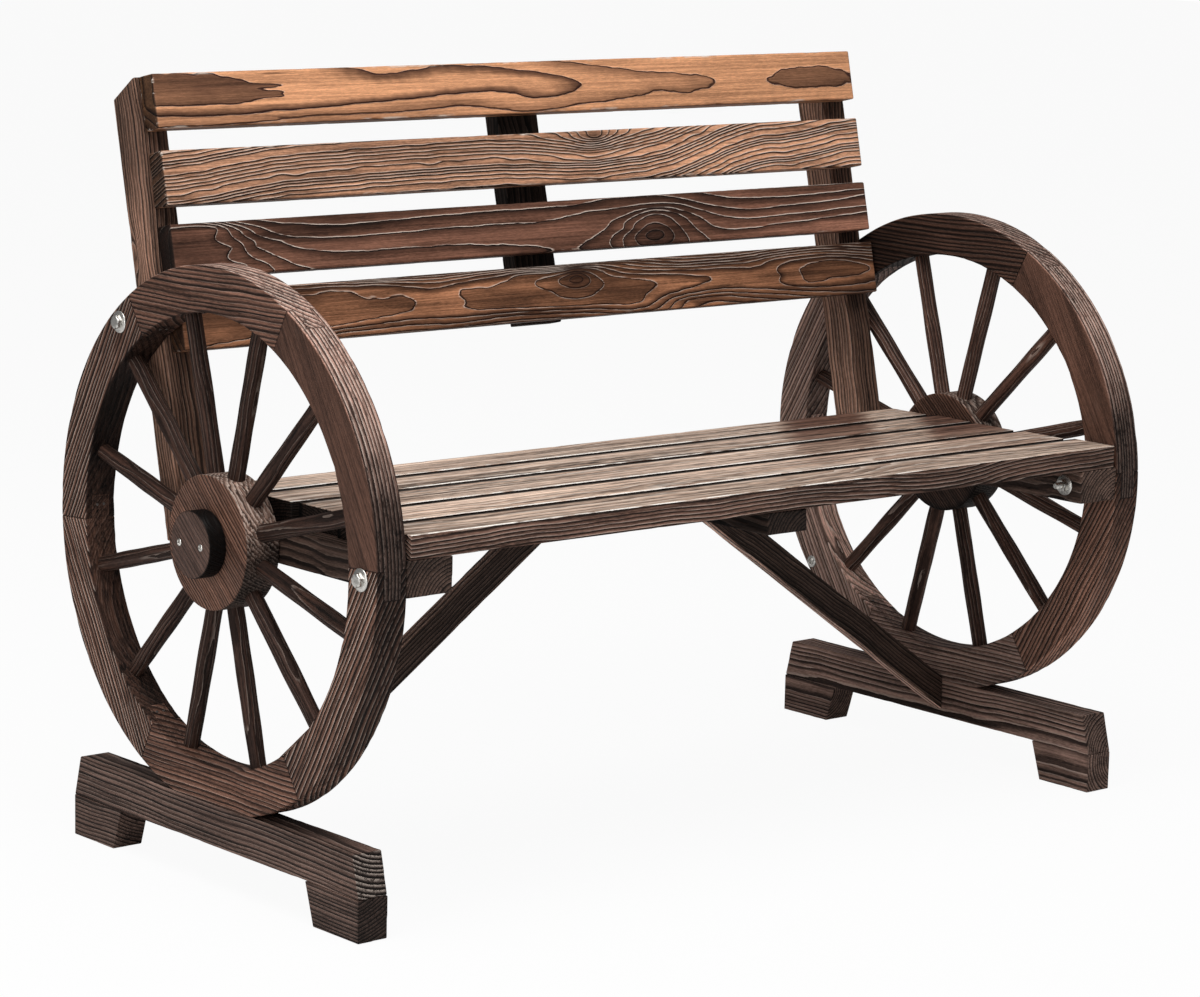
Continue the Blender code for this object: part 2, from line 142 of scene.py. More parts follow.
class BenchColours(bpy.types.PropertyGroup):
    """Colours of the woods, the metal and the studio."""

    rim_body: colour("Rim wood", "Soft grain of the felloes", (0.268, 0.132, 0.090))
    rim_line: colour("Rim grain", "Hard grain of the felloes", (0.014, 0.0075, 0.0055))
    # The tread colours are the rim wood painted lighter: painted light on the upper treads.
    tread_body: colour("Tread wood", "Soft grain on the pale treads of the rims", (0.415, 0.246, 0.193))
    tread_line: colour("Tread grain", "Hard grain on the pale treads of the rims", (0.030, 0.016, 0.012))
    spoke_body: colour("Spoke wood", "Soft grain of the spokes", (0.062, 0.031, 0.022))
    spoke_line: colour("Spoke grain", "Hard grain of the spokes", (0.009, 0.0055, 0.0045))
    hub_body: colour("Hub wood", "Soft grain of the hubs", (0.245, 0.118, 0.077))
    hub_line: colour("Hub grain", "Hard grain of the hubs", (0.014, 0.0075, 0.006))
    cap_body: colour("Cap wood", "Soft grain of the hub caps", (0.124, 0.073, 0.057))
    cap_line: colour("Cap grain", "Hard grain of the hub caps", (0.036, 0.022, 0.018))
    # The seat wood is its own colour lightened by a painted sheen, the reflection its upper faces would catch.
    seat_body: colour("Seat wood", "Soft grain of the seat boards", (0.720, 0.530, 0.408))
    seat_line: colour("Seat grain", "Hard grain of the seat boards", (0.150, 0.070, 0.047))
    slat_1_body: colour("Lowest slat", "Soft grain of the lowest slat", (0.480, 0.214, 0.110))
    slat_1_line: colour("Lowest slat grain", "Hard grain of the lowest slat", (0.022, 0.009, 0.006))
    slat_2_body: colour("Third slat", "Soft grain of the slat above the lowest", (0.222, 0.102, 0.066))
    slat_2_line: colour("Third slat grain", "Hard grain of the slat above the lowest", (0.006, 0.003, 0.0025))
    slat_3_body: colour("Second slat", "Soft grain of the slat below the top one", (0.620, 0.318, 0.190))
    slat_3_line: colour("Second slat grain", "Hard grain of the slat below the top one", (0.008, 0.004, 0.003))
    slat_4_body: colour("Top slat", "Soft grain of the top slat", (0.760, 0.368, 0.190))
    slat_4_line: colour("Top slat grain", "Hard grain of the top slat", (0.045, 0.018, 0.014))
    seat_side_body: colour("Seat edges", "Soft grain on the edges of the seat boards", (0.350, 0.190, 0.138))
    seat_side_line: colour("Seat edge grain", "Hard grain on the edges of the seat boards", (0.010, 0.007, 0.006))
    # The pale lines on the runner end are painted highlights along its rings.
    runner_end_body: colour("Runner ends", "Soft grain on the pale end of a runner", (0.090, 0.060, 0.050))
    runner_end_line: colour("Runner end grain", "Hard grain on the pale end of a runner", (0.010, 0.007, 0.006))
    runner_body: colour("Runner wood", "Soft grain of the runner beams and feet", (0.340, 0.208, 0.164))
    runner_line: colour("Runner grain", "Hard grain of the runner beams and feet", (0.012, 0.007, 0.006))
    frame_body: colour("Frame wood", "Soft grain of rails, posts and braces", (0.290, 0.176, 0.134))
    frame_line: colour("Frame grain", "Hard grain of rails, posts and braces", (0.012, 0.007, 0.006))
    post_body: colour("Post wood", "Soft grain of the back posts", (0.345, 0.186, 0.126))
    post_line: colour("Post grain", "Hard grain of the back posts", (0.014, 0.008, 0.006))
    # Rubbed wood is also the colour of the painted highlight on the pale ridges of the grain.
    rubbed: colour("Rubbed wood", "Pale wood where edges and ridges are rubbed bare", (0.740, 0.620, 0.535))
    # Bare wood and a painted highlight along the front arrises of the seat boards.
    seat_rubbed_and_highlight: colour("Rubbed seat", "Bare wood along the front edges of the seat boards", (0.960, 0.900, 0.830))
    zinc: colour("Zinc", "Plated bolts, washers, nuts and screws", (0.720, 0.700, 0.660))
    nail: colour("Nails", "Dull steel of the nail heads", (0.160, 0.140, 0.130))
    floor: colour("Floor", "Floor of the studio", (0.780, 0.780, 0.780))


# Meshes

def smooth_step(low, high, values):
    t = np.clip((values - low) / (high - low), 0.0, 1.0)
    return t * t * (3.0 - 2.0 * t)


def waves(values, seed, wavelengths, shares):
    """A smooth uneven line, the same for the same seed."""
    chance = np.random.default_rng(seed)
    total = np.zeros_like(values)
    for wavelength, share in zip(wavelengths, shares):
        stretch, phase = chance.uniform(0.8, 1.25), chance.uniform(0.0, 2.0 * math.pi)
        total += share * np.sin(2.0 * math.pi * values / (wavelength * stretch) + phase)
    return total


def grid_lines(size, step, ease):
    """Grid positions across one side of a timber, set close together where its edges are eased."""
    inset = 1.7 * ease
    count = max(2, int(round((size - 2.0 * inset) / step)) + 1)
    near = np.array((0.0, 0.35, 0.9)) * ease
    return np.concatenate((near - size / 2.0, np.linspace(inset - size / 2.0, size / 2.0 - inset, count),
                           size / 2.0 - near[::-1]))


def shell(lines, solid=None):
    """The outer quads of those cells of a grid that hold wood."""
    shape = tuple(len(line) for line in lines)
    if solid is None:
        solid = np.ones(tuple(n - 1 for n in shape), bool)
    padded = np.pad(solid, 1)
    index = np.arange(np.prod(shape)).reshape(shape)
    quads = []
    for axis in range(3):
        first, second = (axis + 1) % 3, (axis + 2) % 3
        for far_side in (0, 1):
            open_side = padded & ~np.roll(padded, -1 if far_side else 1, axis)
            corner = np.argwhere(open_side[1:-1, 1:-1, 1:-1])
            corner[:, axis] += far_side
            loop = []
            for a, b in ((0, 0), (1, 0), (1, 1), (0, 1)):
                cell = corner.copy()
                cell[:, first] += a
                cell[:, second] += b
                loop.append(index[tuple(cell.T)])
            quads.append(np.stack(loop if far_side else loop[::-1], 1))
    quads = np.concatenate(quads)
    used, compact = np.unique(quads, return_inverse=True)
    at = np.unravel_index(used, shape)
    return np.stack([line[i] for line, i in zip(lines, at)], 1), compact.reshape(-1, 4)


def edge_nearness(points, half, reach, axes=(0, 1, 2)):
    """1 on an edge between two faces, falling to 0 at reach from it."""
    gaps = np.sort(np.stack([half[a] - np.abs(points[:, a]) for a in axes], 1), 1)
    return np.clip(1.0 - gaps[:, 1] / reach, 0.0, 1.0)


def ease_edges(points, half, ease, nick, seed, axes=(0, 1, 2)):
    """Rounds the edges of a squared timber, a little more in places, as use wears them."""
    along = points[:, 0]
    uneven = waves(along + 0.37 * np.sign(points[:, 1]) + 0.71 * np.sign(points[:, 2]), seed,
                   (0.21, 0.083, 0.037, 0.017), (0.35, 0.3, 0.25, 0.2))
    radius = ease * (1.0 + 0.25 * uneven)
    eased = points.copy()
    outward = np.zeros_like(points)
    for a in axes:
        inner = np.clip(points[:, a], radius - half[a], half[a] - radius)
        outward[:, a] = points[:, a] - inner
        eased[:, a] = inner
    reach = np.linalg.norm(outward, axis=1)
    eased += outward * (radius / np.maximum(reach, 1e-9))[:, None]
    worn = edge_nearness(points, half, 2.0 * ease, axes) * np.maximum(0.0, uneven - 0.25) * nick
    for a in axes:
        if a:
            eased[:, a] -= np.sign(points[:, a]) * worn
    return eased


def squared_timber(size, step, ease, nick, seed):
    """A sawn timber in its own frame: x along the grain, y across it, z through it."""
    half = np.array(size) / 2.0
    points, quads = shell([grid_lines(s, d, ease) for s, d in zip(size, step)])
    edge = edge_nearness(points, half, 2.4 * ease)
    return ease_edges(points, half, ease, nick, seed), quads, edge


def turned(profile, sides, ridge=0.0, seed=0):
    """A turned piece about its own x axis: profile runs from axis to axis as (x, radius, edge nearness)."""
    points, edge, rows, quads = [], [], [], []
    angles = np.arange(sides) * 2.0 * math.pi / sides
    ridges = ridge * waves(angles / (2.0 * math.pi), seed, (0.5, 0.2, 0.125, 0.1), (0.4, 0.5, 0.5, 0.4))
    for x, radius, near in profile:
        start = len(points)
        if radius <= 0.0:
            points.append((x, 0.0, 0.0))
            edge.append(near)
            rows.append([start] * sides)
            continue
        for angle, lift in zip(angles, ridges):
            points.append((x, (radius + lift) * math.cos(angle), (radius + lift) * math.sin(angle)))
            edge.append(near)
        rows.append(list(range(start, start + sides)))
    for a, b in zip(rows, rows[1:]):
        for i in range(sides):
            j = (i + 1) % sides
            corners = (a[i], a[j], b[j], b[i])
            quads.append(tuple(dict.fromkeys(corners)))
    return np.array(points), quads, np.array(edge)


def joined(*meshes):
    """Several closed meshes as one."""
    points, quads = [], []
    for mesh_points, mesh_quads in meshes:
        start = sum(len(p) for p in points)
        points.append(np.asarray(mesh_points, float))
        quads.extend(tuple(start + i for i in quad) for quad in mesh_quads)
    return np.concatenate(points), quads


def moved(points, place):
    """Points taken through a 4 x 4 matrix."""
    matrix = np.array(place)
    return np.asarray(points, float) @ matrix[:3, :3].T + matrix[:3, 3]


def frame_of(origin, along, across):
    """A timber's own frame: x along the grain, y across it."""
    x = Vector(along).normalized()
    z = x.cross(Vector(across)).normalized()
    y = z.cross(x)
    matrix = Matrix((x, y, z)).transposed().to_4x4()
    matrix.translation = Vector(origin)
    return matrix


def add_piece(name, points, quads, material, readings=None, stands_for=(), second=None, on_second=None):
    """One piece of the bench, with its readings, carried by the part's only body.

    on_second says which faces take the second material.
    """
    mesh = bpy.data.meshes.new(name)
    mesh.from_pydata(np.asarray(points).tolist(), [], [tuple(int(i) for i in quad) for quad in quads])
    for reading, values in (readings or {}).items():
        vector = values.ndim == 2
        layer = mesh.attributes.new(reading, "FLOAT_VECTOR" if vector else "FLOAT", "POINT")
        layer.data.foreach_set("vector" if vector else "value", values.astype(np.float32).ravel())
    faces = bmesh.new()
    faces.from_mesh(mesh)
    bmesh.ops.recalc_face_normals(faces, faces=faces.faces)
    faces.to_mesh(mesh)
    faces.free()
    mesh.shade_smooth()
    mesh.set_sharp_from_angle(angle=math.radians(48.0))
    mesh.materials.append(material)
    if second:
        mesh.materials.append(second)
        mesh.polygons.foreach_set("material_index", np.asarray(on_second, np.int32))
    piece = bpy.data.objects.new(name, mesh)
    bpy.context.scene.collection.objects.link(piece)
    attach(piece, "root")
    if stands_for:
        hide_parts(*stands_for)
    return piece


# Growth rings

def plain_rings(timber, seed, pitch, pith, wander=0.35, knots=(), lean=0.012):
    """Ring numbers in a plain timber: distance from the pith line, with the tree's own slow bends.

    pith is how far the heart of the tree lies across and through from the timber's middle.
    knots are (x, y, length, width, rings) hills in that count.
    """
    x, y, z = timber.T
    chance = np.random.default_rng(seed)
    slant = chance.uniform(-lean, lean, 2)
    distance = np.hypot(y - pith[0] - slant[0] * x, z - pith[1] - slant[1] * x)
    rings = distance / pitch
    rings += wander * waves(x + 0.6 * y + 0.4 * z, seed + 11, (0.40, 0.19, 0.09, 0.05), (0.9, 0.5, 0.25, 0.12))
    rings += 0.18 * np.sin(rings + seed) + 0.08 * np.sin(2.3 * rings + 2.0 * seed)
    return rings + knot_hills(timber, knots)


def knot_hills(timber, knots):
    hills = np.zeros(len(timber))
    for at_x, at_y, long, wide, rise in knots:
        hills += rise * np.exp(-((timber[:, 0] - at_x) / long) ** 2 - ((timber[:, 1] - at_y) / wide) ** 2)
    return hills


def knot_rings(timber, knots):
    """Close rings round each knot of (x, y, length, width, rings)."""
    rings = np.zeros(len(timber))
    for at_x, at_y, long, wide, rise in knots:
        rings += rise * np.exp(-np.hypot((timber[:, 0] - at_x) / long, (timber[:, 1] - at_y) / wide) ** 1.25)
    return rings


def drawn_rings(timber, hints, seed, knots=(), deep=60.0):
    """Ring numbers of a broad slat, drawn smoothly through hints of (x, y, ring), x and y in millimetres."""
    hints = np.array(hints, float)
    stretch = np.array((1.0 / 85.0, 1.0 / 17.0))
    spots = hints[:, :2] * stretch

    def bend(a, b):
        square = np.maximum(((a[:, None, :] - b[None, :, :]) ** 2).sum(2), 1e-12)
        return 0.5 * square * np.log(square)

    count = len(spots)
    flat = np.column_stack((np.ones(count), spots))
    system = np.zeros((count + 3, count + 3))
    system[:count, :count] = bend(spots, spots) + 0.004 * np.eye(count)
    system[:count, count:] = flat
    system[count:, :count] = flat.T
    weights = np.linalg.solve(system, np.concatenate((hints[:, 2], np.zeros(3))))
    at = timber[:, :2] * 1000.0 * stretch
    rings = bend(at, spots) @ weights[:count] + np.column_stack((np.ones(len(at)), at)) @ weights[count:]
    rings += 0.03 * waves(timber[:, 0] + 0.9 * timber[:, 1], seed, (0.07, 0.033, 0.017), (0.6, 0.4, 0.25))
    return rings + knot_rings(timber, knots) + deep * (SLAT_THICKNESS / 2.0 - timber[:, 2])


def bent_rings(timber, seed, pitch, bends, knots):
    """Ring numbers of a slat sawn across the rings: even lines that follow bends of (x, rise), x and rise in
    millimetres, and part round its knots."""
    places, rises = np.array(bends, float).T / 1000.0
    x, y, z = timber.T
    step = np.clip(np.searchsorted(places, x) - 1, 0, len(places) - 2)
    t = np.clip((x - places[step]) / (places[step + 1] - places[step]), 0.0, 1.0)
    rise = rises[step] + (rises[step + 1] - rises[step]) * t * t * (3.0 - 2.0 * t)
    level = y - rise + 0.35 * (SLAT_THICKNESS / 2.0 - z)
    rings = level / pitch + waves(level, seed + 1, (0.027, 0.013), (0.36, 0.14))
    rings += 0.15 * waves(x + 0.5 * y, seed, (0.16, 0.07, 0.034), (0.7, 0.4, 0.3))
    return rings + knot_rings(timber, knots)


# Shader groups

class Wiring:
    """Short calls for placing and joining shader nodes in one tree."""

    def __init__(self, tree):
        self.tree = tree

    def node(self, kind, **settings):
        made = self.tree.nodes.new(kind)
        for key, value in settings.items():
            setattr(made, key, value)
        return made

    def feed(self, socket, source):
        if isinstance(source, bpy.types.NodeSocket):
            self.tree.links.new(source, socket)
        else:
            socket.default_value = source

    def sum(self, operation, *sources):
        made = self.node("ShaderNodeMath", operation=operation)
        for socket, source in zip(made.inputs, sources):
            self.feed(socket, source)
        return made.outputs[0]

    def span(self, value, low, high, to_low=0.0, to_high=1.0, kind="SMOOTHSTEP"):
        made = self.node("ShaderNodeMapRange", interpolation_type=kind)
        for socket, source in zip(made.inputs, (value, low, high, to_low, to_high)):
            self.feed(socket, source)
        return made.outputs[0]

    def stretched(self, vector, scale):
        made = self.node("ShaderNodeVectorMath", operation="MULTIPLY")
        self.feed(made.inputs[0], vector)
        self.feed(made.inputs[1], scale)
        return made.outputs[0]

    def noise(self, vector, scale=1.0, detail=2.0, roughness=0.5):
        made = self.node("ShaderNodeTexNoise")
        self.feed(made.inputs["Vector"], vector)
        made.inputs["Scale"].default_value = scale
        made.inputs["Detail"].default_value = detail
        made.inputs["Roughness"].default_value = roughness
        return made.outputs["Fac"]

    def mix(self, amount, first, second, blend="MIX"):
        made = self.node("ShaderNodeMix", data_type="RGBA", blend_type=blend, clamp_factor=True)
        self.feed(made.inputs[0], amount)
        self.feed(made.inputs[6], first)
        self.feed(made.inputs[7], second)
        return made.outputs[2]

    def group(self, group, **sources):
        made = self.node("ShaderNodeGroup", node_tree=group)
        for key, source in sources.items():
            self.feed(made.inputs[key.replace("_", " ").title()], source)
        return made.outputs


def new_group(name, inputs, outputs):
    """An empty shader group with its named sockets, and the wiring, inputs and output node to fill it with."""
    group = bpy.data.node_groups.new(name, "ShaderNodeTree")
    kinds = {"value": "NodeSocketFloat", "vector": "NodeSocketVector", "colour": "NodeSocketColor"}
    for socket, kind, default in inputs:
        made = group.interface.new_socket(socket, in_out="INPUT", socket_type=kinds[kind])
        if default is not None:
            made.default_value = default
    for socket, kind in outputs:
        group.interface.new_socket(socket, in_out="OUTPUT", socket_type=kinds[kind])
    wiring = Wiring(group)
    return group, wiring, wiring.node("NodeGroupInput").outputs, wiring.node("NodeGroupOutput").inputs


def fibre_group():
    """Fine streaks along the grain, as brushing leaves them."""
    group, w, given, out = new_group(
        "Brushed fibres", (("Timber", "vector", None), ("Fineness", "value", 1.0)),
        (("Streak", "value"), ("Broad", "value"), ("Fleck", "value")))
    scaled = w.node("ShaderNodeVectorMath", operation="SCALE")
    w.feed(scaled.inputs[0], given["Timber"])
    w.feed(scaled.inputs["Scale"], given["Fineness"])
    long = w.noise(w.stretched(scaled.outputs[0], (9.0, 420.0, 420.0)), detail=4.0, roughness=0.62)
    short = w.noise(w.stretched(scaled.outputs[0], (160.0, 1150.0, 1150.0)), detail=2.0, roughness=0.6)
    broad = w.noise(w.stretched(scaled.outputs[0], (2.6, 95.0, 95.0)), detail=3.0, roughness=0.55)
    w.feed(out["Streak"], w.span(long, 0.30, 0.72))
    w.feed(out["Broad"], w.span(broad, 0.34, 0.66))
    w.feed(out["Fleck"], w.span(short, 0.35, 0.75))
    return group


def growth_line_group():
    """Hard dark lines where each growth ring ends, with a soft darkening of the wood before them and a pale ridge
    after them; the pale ridge is a painted highlight where the raised grain catches the light.

    Widths are measured against Spread, the breadth of a ring on the surface.
    """
    group, w, given, out = new_group(
        "Growth lines",
        (("Ring", "value", 0.0), ("Timber", "vector", None), ("Spread", "value", 1.0), ("Line Width", "value", 0.2),
         ("Shade Width", "value", 0.6), ("Pale Width", "value", 0.1), ("Ragged", "value", 0.1)),
        (("Line", "value"), ("Shade", "value"), ("Pale", "value"), ("Band", "value"), ("Count", "value")))
    share = {key: w.sum("DIVIDE", given[key], given["Spread"])
             for key in ("Line Width", "Shade Width", "Pale Width", "Ragged")}
    tear = w.noise(w.stretched(given["Timber"], (38.0, 330.0, 330.0)), detail=3.0, roughness=0.6)
    ring = w.sum("MULTIPLY_ADD", w.sum("SUBTRACT", tear, 0.5), share["Ragged"], given["Ring"])
    part = w.sum("FRACT", ring)
    whole = w.node("ShaderNodeTexWhiteNoise", noise_dimensions="1D")
    w.feed(whole.inputs["W"], w.sum("FLOOR", ring))
    start = w.sum("SUBTRACT", 1.0, share["Line Width"])
    soft = w.sum("MULTIPLY_ADD", share["Line Width"], -0.45, 1.0)
    w.feed(out["Line"], w.span(part, start, soft))
    w.feed(out["Shade"], w.span(part, w.sum("SUBTRACT", 1.0, share["Shade Width"]), 1.0))
    w.feed(out["Pale"], w.span(part, 0.0, share["Pale Width"], 1.0, 0.0))
    w.feed(out["Band"], whole.outputs["Value"])
    w.feed(out["Count"], ring)
    return group


def burnt_patch_group():
    """Clouds where the flame stayed longer."""
    group, w, given, out = new_group("Burnt patches", (("Timber", "vector", None),), (("Patch", "value"),))
    cloud = w.noise(w.stretched(given["Timber"], (5.0, 22.0, 22.0)), detail=4.0, roughness=0.6)
    w.feed(out["Patch"], w.span(cloud, 0.36, 0.66))
    return group


def edge_wear_group():
    """Edges rubbed bare in places."""
    group, w, given, out = new_group(
        "Rubbed edges", (("Edge", "value", 0.0), ("Timber", "vector", None), ("Amount", "value", 0.5)),
        (("Rubbed", "value"),))
    patchy = w.noise(w.stretched(given["Timber"], (26.0, 120.0, 120.0)), detail=3.0, roughness=0.65)
    low = w.sum("MULTIPLY_ADD", given["Amount"], -0.45, 0.80)
    worn = w.span(patchy, low, w.sum("ADD", low, 0.16))
    w.feed(out["Rubbed"], w.sum("MULTIPLY", worn, w.span(given["Edge"], 0.25, 0.95)))
    return group


def timber_group(groups):
    """Scorched, brushed fir: everything that a timber's surface shows, with the light and shade that its tone paints
    on it.
    """
    group, w, given, out = new_group(
        "Scorched timber",
        (("Ring", "value", 0.0), ("Timber", "vector", None), ("Spread", "value", 1.0), ("Edge", "value", 0.0),
         ("Tone", "value", 1.0), ("Knot", "value", 0.0), ("Fill", "value", -1000.0), ("Fill Depth", "value", 0.64),
         ("Body", "colour", (0.3, 0.2, 0.1, 1.0)), ("Grain", "colour", (0.05, 0.03, 0.02, 1.0)),
         ("Rubbed", "colour", (0.5, 0.4, 0.3, 1.0)),
         ("Line Width", "value", 0.2), ("Line Strength", "value", 0.9),
         ("Shade Width", "value", 0.6), ("Shade Strength", "value", 0.4),
         ("Pale Width", "value", 0.1), ("Pale Strength", "value", 0.2), ("Ragged", "value", 0.15), ("Uneven", "value", 0.0),
         ("Fineness", "value", 1.0), ("Streaks", "value", 0.35), ("Patches", "value", 0.35),
         ("Wear", "value", 0.4), ("Gloss", "value", 0.55)),
        (("Colour", "colour"), ("Roughness", "value"), ("Height", "value")))
    lines = w.group(groups["lines"], ring=given["Ring"], timber=given["Timber"], spread=given["Spread"],
                    line_width=given["Line Width"], shade_width=given["Shade Width"],
                    pale_width=given["Pale Width"], ragged=given["Ragged"])
    fibres = w.group(groups["fibres"], timber=given["Timber"], fineness=given["Fineness"])
    patch = w.group(groups["patches"], timber=given["Timber"])["Patch"]
    rubbed = w.group(groups["edges"], edge=given["Edge"], timber=given["Timber"], amount=given["Wear"])["Rubbed"]

    filled = w.span(w.sum("SUBTRACT", lines["Count"], given["Fill"]), -0.05, 0.0, 1.0, 0.0)
    uneven = w.sum("MULTIPLY_ADD", lines["Band"], 0.45, 0.62)
    shade = w.sum("MULTIPLY", w.sum("MULTIPLY", lines["Shade"], given["Shade Strength"]), uneven)
    shade = w.sum("MULTIPLY", shade, w.sum("MULTIPLY_ADD", filled, -0.6, 1.0))
    line = w.sum("MULTIPLY", w.sum("MULTIPLY", lines["Line"], given["Line Strength"]),
                 w.sum("MULTIPLY_ADD", fibres["Streak"], 0.35, 0.75))
    faint = w.sum("MULTIPLY", w.sum("SUBTRACT", 1.0, lines["Band"]), given["Uneven"])
    line = w.sum("MULTIPLY", line, w.sum("SUBTRACT", 1.0, faint))
    base = w.mix(shade, given["Body"], given["Grain"])
    base = w.mix(w.sum("MULTIPLY", patch, given["Patches"]), base, given["Grain"])
    filled = w.sum("MULTIPLY", filled, w.sum("MULTIPLY_ADD", patch, 0.20, given["Fill Depth"]))
    base = w.mix(filled, base, given["Grain"])
    base = w.mix(given["Knot"], base, given["Grain"])
    base = w.mix(line, base, given["Grain"])
    bright = w.sum("MULTIPLY_ADD", w.sum("SUBTRACT", fibres["Streak"], 0.5), given["Streaks"], 1.0)
    bright = w.sum("MULTIPLY_ADD", w.sum("SUBTRACT", fibres["Fleck"], 0.5),
                   w.sum("MULTIPLY", given["Streaks"], 0.75), bright)
    bright = w.sum("MULTIPLY_ADD", w.sum("SUBTRACT", fibres["Broad"], 0.5),
                   w.sum("MULTIPLY", given["Streaks"], 0.6), bright)
    # Tone scales the colour: painted light and shade on the faces, with some tone of the wood's own.
    bright = w.sum("MULTIPLY", bright, given["Tone"])
    level = w.node("ShaderNodeCombineColor")
    for socket in level.inputs[:3]:
        w.feed(socket, bright)
    base = w.mix(1.0, base, level.outputs[0], "MULTIPLY")
    # Pale ridges: a painted highlight where the raised grain catches the light.
    pale = w.sum("MULTIPLY", w.sum("MULTIPLY", lines["Pale"], given["Pale Strength"]),
                 w.span(fibres["Streak"], 0.0, 0.5))
    pale = w.sum("MULTIPLY", pale, w.span(given["Knot"], 0.0, 0.55, 1.0, 0.0))
    base = w.mix(w.sum("MULTIPLY", pale, given["Tone"]), base, given["Rubbed"])
    base = w.mix(rubbed, base, given["Rubbed"])
    w.feed(out["Colour"], base)

    rough = w.sum("MULTIPLY_ADD", fibres["Streak"], -0.14, given["Gloss"])
    w.feed(out["Roughness"], w.sum("MULTIPLY_ADD", lines["Line"], 0.12, rough))
    ridge = w.sum("MULTIPLY_ADD", lines["Shade"], 0.45, w.sum("MULTIPLY", lines["Line"], -0.75))
    ridge = w.sum("MULTIPLY_ADD", lines["Pale"], 0.25, ridge)
    w.feed(out["Height"], w.sum("MULTIPLY_ADD", fibres["Streak"], 0.22, ridge))
    return group


def shared_group(name):
    """The shader group of that name, built once."""
    builders = {"lines": growth_line_group, "fibres": fibre_group, "patches": burnt_patch_group,
                "edges": edge_wear_group}
    titles = {"lines": "Growth lines", "fibres": "Brushed fibres", "patches": "Burnt patches",
              "edges": "Rubbed edges", "timber": "Scorched timber"}
    found = bpy.data.node_groups.get(titles[name])
    if found:
        return found
    if name == "timber":
        return timber_group({key: shared_group(key) for key in builders})
    return builders[name]()


